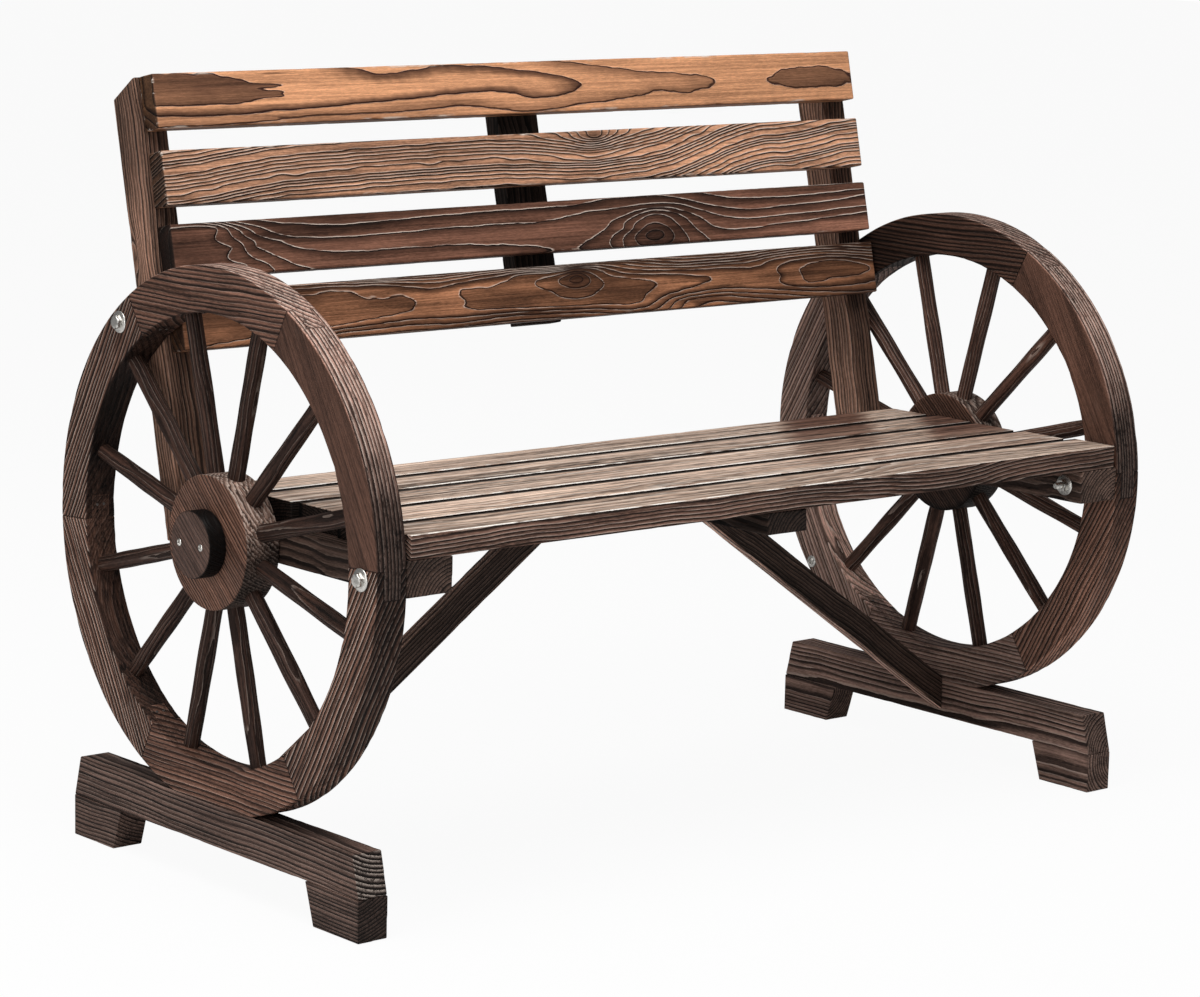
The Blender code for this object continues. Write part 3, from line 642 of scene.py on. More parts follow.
# How each finish reads its timber. Widths are shares of a growth ring, and millimetres on the slats. The pale
# ridge is a painted highlight on the raised grain.
FINISHES = {
    "rim": dict(line_width=0.54, line_strength=1.0, shade_width=0.9, shade_strength=0.35, pale_width=0.18,
                pale_strength=0.26, ragged=0.2, uneven=0.2, streaks=0.75, patches=0.35, wear=0.22, gloss=0.65),
    "streaked_rim": dict(line_width=0.6, line_strength=1.0, shade_width=0.9, shade_strength=0.25, pale_width=0.26,
                         pale_strength=0.8, ragged=0.25, uneven=0.0, streaks=0.85, patches=0.3, wear=0.22, gloss=0.65),
    "bore": dict(line_width=0.45, line_strength=0.5, shade_width=0.9, shade_strength=0.3, pale_width=0.3,
                 pale_strength=0.12, ragged=0.6, uneven=0.6, streaks=1.0, patches=0.6, wear=0.2, gloss=0.65),
    "grey_rim": dict(line_width=0.5, line_strength=0.9, shade_width=0.9, shade_strength=0.35, pale_width=0.3,
                     pale_strength=0.3, ragged=0.25, uneven=0.45, streaks=0.85, patches=0.35, wear=0.22, gloss=0.65),
    "tread": dict(line_width=0.5, line_strength=0.95, shade_width=0.9, shade_strength=0.3, pale_width=0.4,
                  pale_strength=0.7, ragged=0.3, uneven=0.25, streaks=0.9, patches=0.15, wear=0.3, gloss=0.62),
    "spoke": dict(line_width=0.5, line_strength=0.62, shade_width=0.9, shade_strength=0.45, pale_width=0.18,
                  pale_strength=0.18, ragged=0.35, uneven=0.4, streaks=0.85, patches=0.15, wear=0.2, gloss=0.6),
    "hub": dict(line_width=0.55, line_strength=1.0, shade_width=0.8, shade_strength=0.35, pale_width=0.3,
                pale_strength=0.12, ragged=0.22, uneven=0.5, streaks=0.7, patches=0.55, wear=0.1, gloss=0.65),
    "hub_wall": dict(line_width=0.5, line_strength=0.8, shade_width=0.9, shade_strength=0.3, pale_width=0.6,
                     pale_strength=0.5, ragged=1.6, uneven=0.8, streaks=1.0, patches=0.7, wear=0.1, gloss=0.65),
    "cap": dict(line_width=0.35, line_strength=0.55, shade_width=0.8, shade_strength=0.4, pale_width=0.2,
                pale_strength=0.02, ragged=0.3, uneven=0.4, streaks=0.55, patches=0.4, wear=0.2, gloss=0.62),
    "seat": dict(line_width=0.34, line_strength=0.4, shade_width=0.8, shade_strength=0.3, pale_width=0.45,
                 pale_strength=0.35, ragged=0.3, uneven=0.55, streaks=0.85, patches=0.25, wear=0.95, gloss=0.55, fineness=0.3),
    "seat_side": dict(line_width=0.58, line_strength=1.0, shade_width=0.9, shade_strength=0.45, pale_width=0.32,
                      pale_strength=0.6, ragged=0.35, uneven=0.25, streaks=0.8, patches=0.4, wear=0.15, gloss=0.62),
    "slat_1": dict(line_width=1.5, line_strength=1.0, shade_width=10.0, shade_strength=0.85, pale_width=1.3,
                   pale_strength=0.65, ragged=1.6, uneven=0.0, streaks=0.6, patches=0.5, wear=0.45, gloss=0.56,
                   fill_depth=0.37),
    "slat_2": dict(line_width=1.8, line_strength=1.0, shade_width=11.0, shade_strength=0.8, pale_width=1.3,
                   pale_strength=1.0, ragged=1.4, uneven=0.0, streaks=0.6, patches=0.55, wear=0.35, gloss=0.56),
    "slat_3": dict(line_width=2.3, line_strength=1.0, shade_width=3.6, shade_strength=0.62, pale_width=1.3,
                   pale_strength=0.8, ragged=1.0, uneven=0.15, streaks=0.65, patches=0.25, wear=0.55, gloss=0.56),
    "slat_4": dict(line_width=1.8, line_strength=1.0, shade_width=15.0, shade_strength=0.92, pale_width=0.8,
                   pale_strength=0.4, ragged=1.6, uneven=0.0, streaks=0.45, patches=0.12, wear=0.6, gloss=0.54),
    "runner": dict(line_width=0.55, line_strength=1.0, shade_width=0.8, shade_strength=0.35, pale_width=0.25,
                   pale_strength=0.3, ragged=0.2, uneven=0.32, streaks=0.75, patches=0.4, wear=0.25, gloss=0.65),
    "runner_end": dict(line_width=0.45, line_strength=1.0, shade_width=0.8, shade_strength=0.35, pale_width=0.6,
                       pale_strength=1.0, ragged=0.3, uneven=0.0, streaks=0.4, patches=0.2, wear=0.35, gloss=0.65),
    "post": dict(line_width=0.55, line_strength=0.92, shade_width=0.8, shade_strength=0.4, pale_width=0.22,
                 pale_strength=0.22, ragged=0.22, uneven=0.42, streaks=0.75, patches=0.35, wear=0.25, gloss=0.62),
    "frame": dict(line_width=0.55, line_strength=0.92, shade_width=0.8, shade_strength=0.4, pale_width=0.22,
                  pale_strength=0.2, ragged=0.22, uneven=0.42, streaks=0.75, patches=0.45, wear=0.25, gloss=0.62),
}
# Finishes that take their colours from another one.
SAME_COLOURS = {"streaked_rim": "rim", "bore": "rim", "grey_rim": "runner", "hub_wall": "frame"}
TIMBER_SPECULAR = 0.12


def timber_material(finish):
    """The material of one finish, made from the shared groups with its own colours and values."""
    title = finish + "_timber"
    found = bpy.data.materials.get(title)
    if found:
        return found
    sizes, colours = bpy.context.scene.bench_sizes, bpy.context.scene.bench_colours
    paint = SAME_COLOURS.get(finish, finish)
    material = bpy.data.materials.new(title)
    material.use_nodes = True
    material.node_tree.nodes.clear()
    w = Wiring(material.node_tree)
    readings = {}
    for reading in ("ring", "timber", "spread", "edge", "tone", "knot", "fill"):
        source = w.node("ShaderNodeAttribute", attribute_type="GEOMETRY", attribute_name=reading)
        readings[reading] = source.outputs["Vector" if reading == "timber" else "Fac"]
    surface = w.group(
        shared_group("timber"), **readings, **FINISHES[finish],
        body=(*getattr(colours, paint + "_body"), 1.0), grain=(*getattr(colours, paint + "_line"), 1.0),
        rubbed=(*(colours.seat_rubbed_and_highlight if finish == "seat" else colours.rubbed), 1.0))
    bump = w.node("ShaderNodeBump")
    bump.inputs["Strength"].default_value = 1.0
    bump.inputs["Distance"].default_value = sizes.relief
    w.feed(bump.inputs["Height"], surface["Height"])
    shader = w.node("ShaderNodeBsdfPrincipled")
    shader.inputs["Specular IOR Level"].default_value = TIMBER_SPECULAR
    w.feed(shader.inputs["Base Color"], surface["Colour"])
    w.feed(shader.inputs["Roughness"], surface["Roughness"])
    w.feed(shader.inputs["Normal"], bump.outputs["Normal"])
    w.feed(w.node("ShaderNodeOutputMaterial").inputs["Surface"], shader.outputs["BSDF"])
    return material


def metal_material(title, paint, smoothest, dullest):
    """Worn metal with faint stains."""
    found = bpy.data.materials.get(title)
    if found:
        return found
    material = bpy.data.materials.new(title)
    material.use_nodes = True
    material.node_tree.nodes.clear()
    w = Wiring(material.node_tree)
    place = w.node("ShaderNodeTexCoord").outputs["Object"]
    stain = w.span(w.noise(place, scale=260.0, detail=4.0, roughness=0.6), 0.38, 0.70)
    shader = w.node("ShaderNodeBsdfPrincipled")
    w.feed(shader.inputs["Base Color"], w.mix(stain, (*paint, 1.0), (*(0.62 * c for c in paint), 1.0)))
    w.feed(shader.inputs["Roughness"], w.span(stain, 0.0, 1.0, smoothest, dullest))
    shader.inputs["Metallic"].default_value = 1.0
    bump = w.node("ShaderNodeBump")
    bump.inputs["Strength"].default_value = 0.3
    bump.inputs["Distance"].default_value = 0.0002
    w.feed(bump.inputs["Height"], w.noise(place, scale=900.0, detail=2.0))
    w.feed(shader.inputs["Normal"], bump.outputs["Normal"])
    w.feed(w.node("ShaderNodeOutputMaterial").inputs["Surface"], shader.outputs["BSDF"])
    return material


# Timbers

NO_FILL = -1000.0


def readings_of(timber, edge, seed, rings, tone=1.0, knot=0.0, fill=NO_FILL, spread=1.0):
    """What each point tells the finish. The seed moves the fibres, so that no two timbers are alike.

    Wood of a lower ring number than fill is dark.
    """
    chance = np.random.default_rng(seed)
    shift = chance.uniform(-4.0, 4.0, 3)

    def each(value):
        return np.broadcast_to(np.asarray(value, float), (len(timber),)).copy()

    return {"ring": rings, "timber": timber + shift, "spread": each(spread), "edge": edge, "tone": each(tone),
            "knot": np.clip(each(knot), 0.0, 1.0), "fill": each(fill)}


def ring_breadth(rings, timber, counted):
    """How many millimetres a growth ring takes up on a slat's face."""
    slopes = [(rings(timber + np.array(step)) - counted) / 0.8 for step in ((0.0008, 0.0, 0.0), (0.0, 0.0008, 0.0))]
    return np.clip(1.0 / np.maximum(np.hypot(*slopes), 1e-6), 1.5, 40.0)


def painted_face_light(points, half, bright, dark, axis=2, depth=0.0012):
    """Painted light and shade: bright on the face at the far end of that axis, the face turned to the light, and dark
    on the others.
    """
    return dark + (bright - dark) * smooth_step(half[axis] - depth, half[axis] - 0.3 * depth, points[:, axis])


def steps(sizes_mm):
    return tuple(s / 1000.0 for s in sizes_mm)


# How each felloe was sawn, rear upper one first: slope of its rings in degrees, ring pitch in metres.
FELLOE_TIMBER = ((36.0, 0.0042), (-30.0, 0.0042), (90.0, 0.0046), (-40.0, 0.0040), (24.0, 0.0046), (-34.0, 0.0041))
# How light each felloe's faces are painted, from its start to its end, and the same for the treads: painted
# light and shade, lighter where they face the lamps and darker where they are turned away or shadowed.
FELLOE_TONES = {"left": ((0.70, 0.56), (0.60, 0.78), (0.25, 0.43), (0.84, 0.60), (0.84, 0.80), (0.68, 0.82)),
                "right": ((1.5, 1.5), (0.14, 0.34), (0.41, 0.48), (1.1, 1.1), (1.15, 0.9), (1.1, 1.1))}
TREAD_TONES = {"left": ((0.80, 0.70), (0.85, 0.90), (1.05, 0.15), (0.12, 0.62), (0.65, 0.60), (0.80, 0.90)),
               "right": ((1.2, 1.2), (0.5, 0.6), (0.97, 0.19), (0.12, 2.3), (0.9, 0.8), (1.6, 1.6))}
# How the bores differ from the faces, as painted light and shade.
BORE_TONES = {"left": (0.22, 0.5, 0.5, 0.5, 0.75, 0.34), "right": (0.5, 1.0, 1.0, 1.0, 1.0, 1.9)}
# Felloes whose treads take the paler tread finish: painted light on the upper treads, which face the top lamp.
PAINTED_LIT_TREADS = (1, 2)
# Felloes whose faces are not finished as the others are.
FELLOE_FINISHES = {("left", 0): "streaked_rim", ("left", 3): "streaked_rim", ("left", 5): "streaked_rim",
                   ("right", 0): "grey_rim", ("right", 4): "grey_rim", ("right", 5): "grey_rim"}


def joint_stations(start, end, count):
    """Angles across a stretch of rim, in degrees, set close together at both ends."""
    near = np.array((0.0, 0.22, 0.55))
    return np.concatenate((start + near, np.linspace(start + 1.2, end - 1.2, count), end - near[::-1]))


def add_felloe(side, sign, number, seed):
    """One rim segment with the slot at its start and the tongue at its end of the open bridle joints."""
    sizes = bpy.context.scene.bench_sizes
    ease = sizes.rim_ease
    middle = (RIM_RADIUS + RIM_BORE) / 2.0
    start = 60.0 * number
    joint = TONGUE_HALF_ANGLE
    half_tongue = TONGUE_THICKNESS / 2.0
    angles = np.unique(np.concatenate((joint_stations(-joint, joint, 3), joint_stations(joint, 60.0 - joint, 30),
                                       joint_stations(60.0 - joint, 60.0 + joint, 3))))
    radial = grid_lines(RIM_RADIUS - RIM_BORE, 0.0032, ease)
    through = grid_lines(RIM_THICKNESS, 0.0032, ease)
    seams = np.array((half_tongue - 0.0008, half_tongue, half_tongue + 0.0008))
    through = np.unique(np.concatenate((through[np.abs(np.abs(through) - half_tongue) > 0.0016], -seams, seams)))
    cell_angle = (angles[:-1] + angles[1:]) / 2.0
    cell_through = (through[:-1] + through[1:]) / 2.0
    core = np.abs(cell_through) < half_tongue
    reach = np.where(core[None, :], (cell_angle[:, None] > joint), (cell_angle[:, None] < 60.0 - joint))
    solid = np.repeat(reach[:, None, :], len(radial) - 1, 1)
    grid, quads = shell([angles, radial, through], solid)

    half = np.array((1.0, (RIM_RADIUS - RIM_BORE) / 2.0, RIM_THICKNESS / 2.0))
    straight = np.column_stack((np.radians(grid[:, 0]) * middle, grid[:, 1:]))
    edge = edge_nearness(straight, half, 2.4 * ease, axes=(1, 2))
    straight = ease_edges(straight, half, ease, sizes.nick, seed, axes=(1, 2))
    cheek = np.abs(grid[:, 2]) - half_tongue
    cheek_end = np.minimum(np.abs(grid[:, 0] + joint), np.abs(grid[:, 0] - (60.0 - joint)))
    tongue_end = np.minimum(np.abs(grid[:, 0] - joint), np.abs(grid[:, 0] - (60.0 + joint)))
    in_joint = (grid[:, 0] < joint + 0.01) | (grid[:, 0] > 60.0 - joint - 0.01)
    groove = np.where((cheek_end < 0.01) & (cheek > 0.0005), 0.0006, 0.0)
    straight[:, 2] -= np.sign(straight[:, 2]) * groove
    seam = ((cheek_end < 0.01) & (cheek > -1e-6)) | ((tongue_end < 0.01) & (cheek < 1e-6))
    seam |= in_joint & (np.abs(cheek) < 1e-6)

    turn = np.radians(start) + straight[:, 0] / middle
    radius = middle + straight[:, 1]
    points = np.column_stack((sign * (WHEEL_X + straight[:, 2]), radius * np.cos(turn),
                              WHEEL_Z + radius * np.sin(turn)))
    points[:, 2] = np.maximum(points[:, 2], RIM_FLAT_Z)

    centre = math.radians(start + 30.0)
    origin = Vector((sign * WHEEL_X, middle * math.cos(centre), WHEEL_Z + middle * math.sin(centre)))
    grain = frame_of(origin, (0.0, -math.sin(centre), math.cos(centre)), (0.0, math.cos(centre), math.sin(centre)))
    timber = moved(points, grain.inverted())
    slope, pitch = FELLOE_TIMBER[number]
    slope = math.radians(slope)
    flat_sawn = number == 2
    reach = RIM_THICKNESS / 2.0 + 465.2 * pitch if flat_sawn else 0.24
    pith = (reach * math.cos(slope), reach * math.sin(slope))
    rings = plain_rings(timber, seed, pitch, pith, 0.10 if flat_sawn else 0.18, lean=0.002 if flat_sawn else 0.012)
    if (side, number) == ("right", 5):
        rings += 2.6 * np.exp(-np.hypot((timber[:, 0] + 0.029) / 0.026, timber[:, 2] / 0.006) ** 1.25)
    share = np.clip((grid[:, 0] + joint) / 60.0, 0.0, 1.0)
    first, last = FELLOE_TONES[side][number]
    tone = first + (last - first) * share
    first, last = TREAD_TONES[side][number]
    change = smooth_step(0.48, 0.84, share) if flat_sawn else share
    tone += (first + (last - first) * change - tone) * smooth_step(half[1] - 0.0015, half[1] - 0.0003, grid[:, 1])
    tone *= 1.0 - (1.0 - BORE_TONES[side][number]) * smooth_step(half[1] - 0.0015, half[1] - 0.0003, -grid[:, 1])
    depth = grid[quads][:, :, 1].mean(1)
    glued = seam & (grid[:, 1] < -half[1] + 0.001)
    tone = np.where(glued, 2.0 * tone, tone)
    finish = FELLOE_FINISHES.get((side, number), "rim")
    second, on_second = None, None
    if number in PAINTED_LIT_TREADS:
        second, on_second = timber_material("tread"), depth > half[1] - 1e-6
    elif finish == "streaked_rim":
        second, on_second = timber_material("bore"), depth < 1e-6 - half[1]
    add_piece(f"{side}_felloe_{number + 1}", points, quads, timber_material(finish),
              readings_of(timber, edge, seed, rings, tone, knot=0.85 * (seam & ~glued)),
              (f"wheel_{side}_felloe_{number + 1}",),
              second=second, on_second=on_second)


def add_spoke(side, sign, number, seed):
    """One round spoke, slightly ridged by brushing, let into hub and rim."""
    count = 22
    span = SPOKE_OUTER - SPOKE_INNER
    share = np.linspace(0.0, 1.0, count)
    swell = waves(share * span, seed, (0.15, 0.06), (0.00025, 0.00015))
    radius = SPOKE_RADIUS[0] + (SPOKE_RADIUS[1] - SPOKE_RADIUS[0]) * share + swell
    profile = [(0.0, 0.0, 0.0)] + [(s * span, r, 0.0) for s, r in zip(share, radius)] + [(span, 0.0, 0.0)]
    points, quads, edge = turned(profile, 28, ridge=0.0002, seed=seed)
    angle = math.radians(15.0 + 30.0 * number)
    along = Vector((0.0, math.cos(angle), math.sin(angle)))
    place = frame_of(Vector((sign * WHEEL_X, 0.0, WHEEL_Z)) + along * SPOKE_INNER, along, (1.0, 0.0, 0.0))
    chance = np.random.default_rng(seed)
    turn = chance.uniform(0.0, 2.0 * math.pi)
    pith = (0.05 * math.cos(turn), 0.05 * math.sin(turn))
    rings = plain_rings(points, seed, 0.0034, pith, wander=0.45)
    # The right wheel's spokes are painted lighter than the left's, painted light on the side turned from the lamps;
    # the rest of their tone varies at random.
    add_piece(f"{side}_spoke_{number + 1:02d}", moved(points, place), quads, timber_material("spoke"),
              readings_of(points, edge, seed, rings, tone=chance.uniform(0.8, 1.2) * (0.88 if sign < 0 else 1.8)),
              (f"wheel_{side}_spoke_{number + 1:02d}",))


DISC_GRAIN_TURN = math.radians(42.0)


def disc_profile(depth, radius, ease, face_steps):
    """Profile of a turned disc from the middle of its back to the middle of its face."""
    back = [(0.0, radius * i / face_steps, 0.0) for i in range(face_steps)]
    rise = [(ease * (1.0 - math.cos(a)), radius - ease * (1.0 - math.sin(a)), 1.0)
            for a in np.linspace(0.0, math.pi / 2.0, 4)]
    wall = [(ease + (depth - 2.0 * ease) * i / 5.0, radius, 0.0) for i in range(1, 5)]
    fall = [(depth - x, r, near) for x, r, near in reversed(rise)]
    face = [(depth, radius * i / face_steps, 0.0) for i in reversed(range(face_steps))]
    inner_back = [(0.0, radius - 2.2 * ease, 0.0)]
    inner_face = [(depth, radius - 2.2 * ease, 0.0)]
    back = [p for p in back if p[1] < radius - 3.0 * ease]
    face = [p for p in face if p[1] < radius - 3.0 * ease]
    return back + inner_back + rise + wall + fall + inner_face + face


def add_disc(name, side, sign, node, finish, seed, radius, ease, pitch, tone, wall_tone, wall_finish=None):
    """A hub or hub cap, turned from a plank whose grain runs across its face.

    wall_tone is how its round wall compares with its face, below and above, as painted light and shade.
    """
    low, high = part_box(node)
    inner = low.x if sign > 0 else high.x
    depth = high.x - low.x
    points, quads, edge = turned(disc_profile(depth, radius, ease, 9), 72)
    place = frame_of((inner, 0.0, WHEEL_Z), (sign, 0.0, 0.0), (0.0, 1.0, 0.0))
    along = Vector((0.0, math.cos(DISC_GRAIN_TURN), math.sin(DISC_GRAIN_TURN)))
    across = Vector((0.0, -math.sin(DISC_GRAIN_TURN), math.cos(DISC_GRAIN_TURN)))
    world = moved(points, place)
    timber = moved(world, frame_of((inner, 0.0, WHEEL_Z), along, across).inverted())
    rings = plain_rings(timber, seed, pitch, (0.17, 0.06), wander=0.4)
    wall = smooth_step(0.90, 0.985, np.hypot(points[:, 1], points[:, 2]) / radius)
    wall *= 1.0 - smooth_step(0.97, 1.0, points[:, 0] / depth)
    wall_tones = wall_tone[0] + (wall_tone[1] - wall_tone[0]) * smooth_step(-0.015, 0.03, world[:, 2] - WHEEL_Z)
    on_wall = np.array([np.hypot(*points[list(face), 1:].T).min() for face in quads]) > 0.99 * radius
    add_piece(name, world, quads, timber_material(finish),
              readings_of(timber, edge, seed, rings, tone=tone * (1.0 + (wall_tones - 1.0) * wall)), (node,),
              second=timber_material(wall_finish) if wall_finish else None, on_second=on_wall)


def add_timber(name, size, step, ease, seed, place, finish, rings, tone=1.0, shape=None, stands_for=(),
               knot=None, fill=None, worn=None, drawn=False, second=None, on_second=None):
    """One squared timber: made in its own frame, cut to shape there, and set in place.

    tone paints light and shade on its faces and worn says where its edges are rubbed, before it is cut. knot and
    fill darken its wood. drawn keeps the width of its growth lines in millimetres. on_second picks faces for a
    second finish.
    """
    sizes = bpy.context.scene.bench_sizes
    points, quads, edge = squared_timber(size, step, ease, sizes.nick, seed)
    half = np.array(size) / 2.0
    shades = tone(points, half) if callable(tone) else tone
    if worn:
        edge = worn(points, half)
    middles = points[np.asarray(quads)].mean(1)
    if shape:
        points = shape(points)
    counted = rings(points)
    add_piece(name, moved(points, place), quads, timber_material(finish),
              readings_of(points, edge, seed, counted, shades,
                          knot=knot(points) if knot else 0.0,
                          fill=fill(points) if fill else NO_FILL,
                          spread=ring_breadth(rings, points, counted) if drawn else 1.0), stands_for,
              second=timber_material(second) if second else None,
              on_second=on_second(middles, half) if second else None)


def back_place(s, n, x=0.0):
    """A point of the leaning back: s up the slats, n behind their front faces."""
    up, rear = back_axes()
    return BACK_ORIGIN + up * s + rear * n + Vector((x, 0.0, 0.0))


def back_axes():
    up = Vector((0.0, math.sin(BACK_LEAN), math.cos(BACK_LEAN)))
    rear = Vector((0.0, math.cos(BACK_LEAN), -math.sin(BACK_LEAN)))
    return up, rear


# Growth figure of the slats, as hints (x, y, ring) in millimetres from the slat's middle.
TOP_SLAT_FIGURE = (
    (-476, 11, 2.85), (-378, 11, 2.86), (-329, 5, 3), (-384, -6, 3), (-485, -6, 3), (-407, 25, 3),
    (-250, 8, 3.35), (-120, 8, 3.5), (-10, 8, 3.6),
    (-487, -16, 4), (-287, -14, 4), (-156, -8, 4), (-26, -5, 4), (11, -13, 4), (54, -9, 4), (77, 0, 4),
    (50, 11, 4), (-22, 21, 4), (-117, 27, 4), (-185, 20, 4), (-230, 27, 4),
    (120, 0, 4.45), (200, 0, 4.75),
    (-289, -22, 5), (-158, -21, 5), (-90, -18, 5), (9, -27, 5), (63, -22, 5), (136, -17, 5), (188, -10, 5),
    (225, -13, 5), (272, 0, 5), (213, 10, 5), (141, 16, 5), (53, 27, 5),
    (310, 0, 5.35), (320, 25, 5.6), (300, -25, 5.6), (420, 26, 5.5), (420, -26, 5.5),
    (350, -1, 5), (405, 12, 5), (486, 1, 5), (389, -12, 5), (485, -9, 5), (395, 0, 4.8), (450, -2, 4.86),
)
THIRD_SLAT_FIGURE = (
    (296, 18, 4), (400, 17, 4), (485, 20, 4),
    (-374, 27, 3), (-321, 20, 3), (-175, 19, 3), (-46, 21, 3), (46, 22, 3), (100, 27, 3), (173, 26, 3),
    (225, 16, 3), (300, 5, 3), (375, 7, 3), (485, 13, 3),
    (-399, 25, 2), (-339, 8, 2), (-276, 4, 2), (-177, 5, 2), (-48, 6, 2), (62, 14, 2), (150, 18, 2),
    (205, 14, 2), (240, 4, 2), (277, -4, 2), (335, -5, 2), (410, -3, 2), (485, 0, 2),
    (-412, 25, 1), (-380, 12, 1), (-352, 4, 1), (-315, -7, 1), (-247, -12, 1), (-160, -12, 1), (-76, -15, 1),
    (0, -22, 1), (28, -31, 1), (45, -8, 1.45), (0, -31, 0.85), (-65, -28, 0.75),
    (40, -27, 1), (63, -16, 1), (90, -3, 1), (117, 7, 1), (141, 12, 1), (164, 13, 1), (195, 9, 1),
    (242, -11, 1), (335, -14, 1), (410, -11, 1), (485, -7, 1), (300, -26, 0.5), (400, -25, 0.6),
    (-418, 24, 0), (-383, 0, 0), (-340, -20, 0), (-312, -27, 0), (92, -28, 0), (94, -16, 0), (113, -7, 0),
    (133, 6, 0), (160, 10, 0), (187, 6, 0), (211, -8, 0), (234, -26, 0),
    (-424, 23, -1), (-404, 7, -1), (-383, -14, -1), (-362, -28, -1), (110, -28, -1), (113, -16, -1),
    (130, -5, -1), (156, 5, -1), (180, -2, -1), (195, -15, -1), (203, -28, -1),
    (-430, 22, -2), (-412, 0, -2), (-398, -18, -2), (-390, -28, -2), (156, -16, -2.4),
    (-440, 5, -2.3), (-470, 18, -2.3), (-470, 0, -2.4), (-470, -15, -2.4), (-440, -22, -2.4),
)
LOWEST_SLAT_FIGURE = (
    (-319, 18, 2), (-296, 20, 2), (-271, 14, 2), (-234, 8, 2), (-206, 10, 2), (-191, 5, 2), (-186, -1, 2),
    (-193, -7, 2), (-222, -11, 2), (-253, -13, 2), (-290, -17, 2),
    (-330, 0, 1.6), (-250, -3, 1.75), (-440, 2, 1.3), (-165, -3, 2.35), (-165, 12, 2.4),
    (-131, 2, 2), (-122, 11, 2), (-89, 10, 2), (-61, 17, 2), (-33, 22, 2), (78, 14, 2), (126, 7, 2), (146, -4, 2),
    (121, -19, 2), (-36, -15, 2), (-98, -13, 2), (-127, -8, 2), (-60, -2, 1.7), (36, 12, 0.3), (48, -6, 1), (71, -6, 1.45), (10, 2, 1),
    (-230, 25, 3), (-100, 24, 3), (178, 14, 3), (253, 12, 3), (302, 11, 3), (330, 17, 3), (-289, -25, 3),
    (-130, -25, 3), (150, -27, 3), (230, 0, 2.5), (330, -2, 2.6), (287, -14, 3), (363, -21, 3),
    (-230, 28, 4), (-110, 28, 4), (-20, 25, 3), (20, 27, 4), (70, 25, 3), (178, 20, 4), (253, 19, 4), (330, 23, 4),
    (400, 19, 3), (430, 24, 4), (470, 20, 4), (200, 26, 5), (290, 26, 5), (-200, -23, 3), (-60, -22, 3), (40, -25, 3),
    (210, -13, 3), (250, -20, 4), (190, -22, 4), (366, 3, 2), (387, 10, 2), (427, 11, 2), (473, 2, 2), (383, -13, 2), (420, -9, 2), (415, 1, 1.6), (450, 0, 1.65),
)
SECOND_SLAT_BENDS = ((-485, 0), (-300, 16), (-100, 20), (50, 18), (140, 20), (355, 60), (485, 72))


def slat_rings(number):
    """The ring count of one slat, lowest first."""
    if number == 0:
        def crowded(timber):
            """Outside its islands the rings are twice as close."""
            counted = drawn_rings(timber, LOWEST_SLAT_FIGURE, 41, ((0.036, 0.014, 0.018, 0.011, -2.4),))
            return counted + np.maximum(0.0, counted - 2.0)

        return crowded
    if number == 1:
        return lambda timber: drawn_rings(timber, THIRD_SLAT_FIGURE, 42, ((0.156, -0.016, 0.020, 0.012, -1.5),))
    if number == 2:
        return lambda timber: bent_rings(timber, 43, 0.0044, SECOND_SLAT_BENDS,
                                         ((0.086, 0.023, 0.042, 0.025, 5.6),))

    def splintered(timber):
        """The dark wood at the left breaks off along the fibres."""
        near = np.exp(-((timber[:, 0] + 0.338) / 0.018) ** 2)
        return drawn_rings(timber, TOP_SLAT_FIGURE, 44) + 0.12 * near * waves(
            timber[:, 1], 45, (0.0095, 0.0052), (0.7, 0.5))

    return splintered


def slat_knots(number):
    """Where one slat is dark with knots: (x, y, half length, half width, depth of colour), in metres."""
    return ((((0.036, 0.014, 0.024, 0.017, 0.62), (0.44, 0.0, 0.06, 0.020, 0.15)),
             ((0.156, -0.018, 0.046, 0.021, 0.50), (-0.46, 0.004, 0.040, 0.03, 0.40)),
             ((0.086, 0.023, 0.014, 0.010, 0.45),),
             ())[number])


def slat_fill(number):
    """Below which ring one slat's wood is dark."""
    if number == 0:
        return lambda timber: np.where(timber[:, 2] > 0.0, 2.0, NO_FILL)
    if number == 3:
        return lambda timber: np.where(timber[:, 0] < -0.25, 3.0, np.where(timber[:, 0] > 0.335, 5.0, NO_FILL))
    return None


def slat_tone(number):
    """Painted light and shade: the front face bright, the other faces darker and the end faces darker still; and
    a slow change of the wood's tone toward the right end.
    """
    start, end, change = ((0.30, 0.47, -0.25), (0.20, 0.47, 1.1), (-0.15, 0.25, 0.45), (0.0, 1.0, 0.0))[number]

    def tone(points, half):
        shade = painted_face_light(points, half, (1.0, 1.0, 0.88, 1.0)[number], 0.6)
        shade *= 1.0 - 0.80 * smooth_step(half[0] - 0.0015, half[0] - 0.0004, np.abs(points[:, 0]))
        return shade * (1.0 + change * smooth_step(start, end, points[:, 0]))
    return tone


# Operators

class BENCH_OT_rims(bpy.types.Operator):
    """Build the six felloes of each wheel"""

    bl_idname = "bench.rims"
    bl_label = "Rims"

    def execute(self, context):
        for side, sign in SIDES:
            for number in range(6):
                add_felloe(side, sign, number, 100 + number + (20 if sign > 0 else 0))
        return {"FINISHED"}


class BENCH_OT_spokes(bpy.types.Operator):
    """Build the twelve spokes of each wheel"""

    bl_idname = "bench.spokes"
    bl_label = "Spokes"

    def execute(self, context):
        for side, sign in SIDES:
            for number in range(12):
                add_spoke(side, sign, number, 200 + number + (20 if sign > 0 else 0))
        return {"FINISHED"}


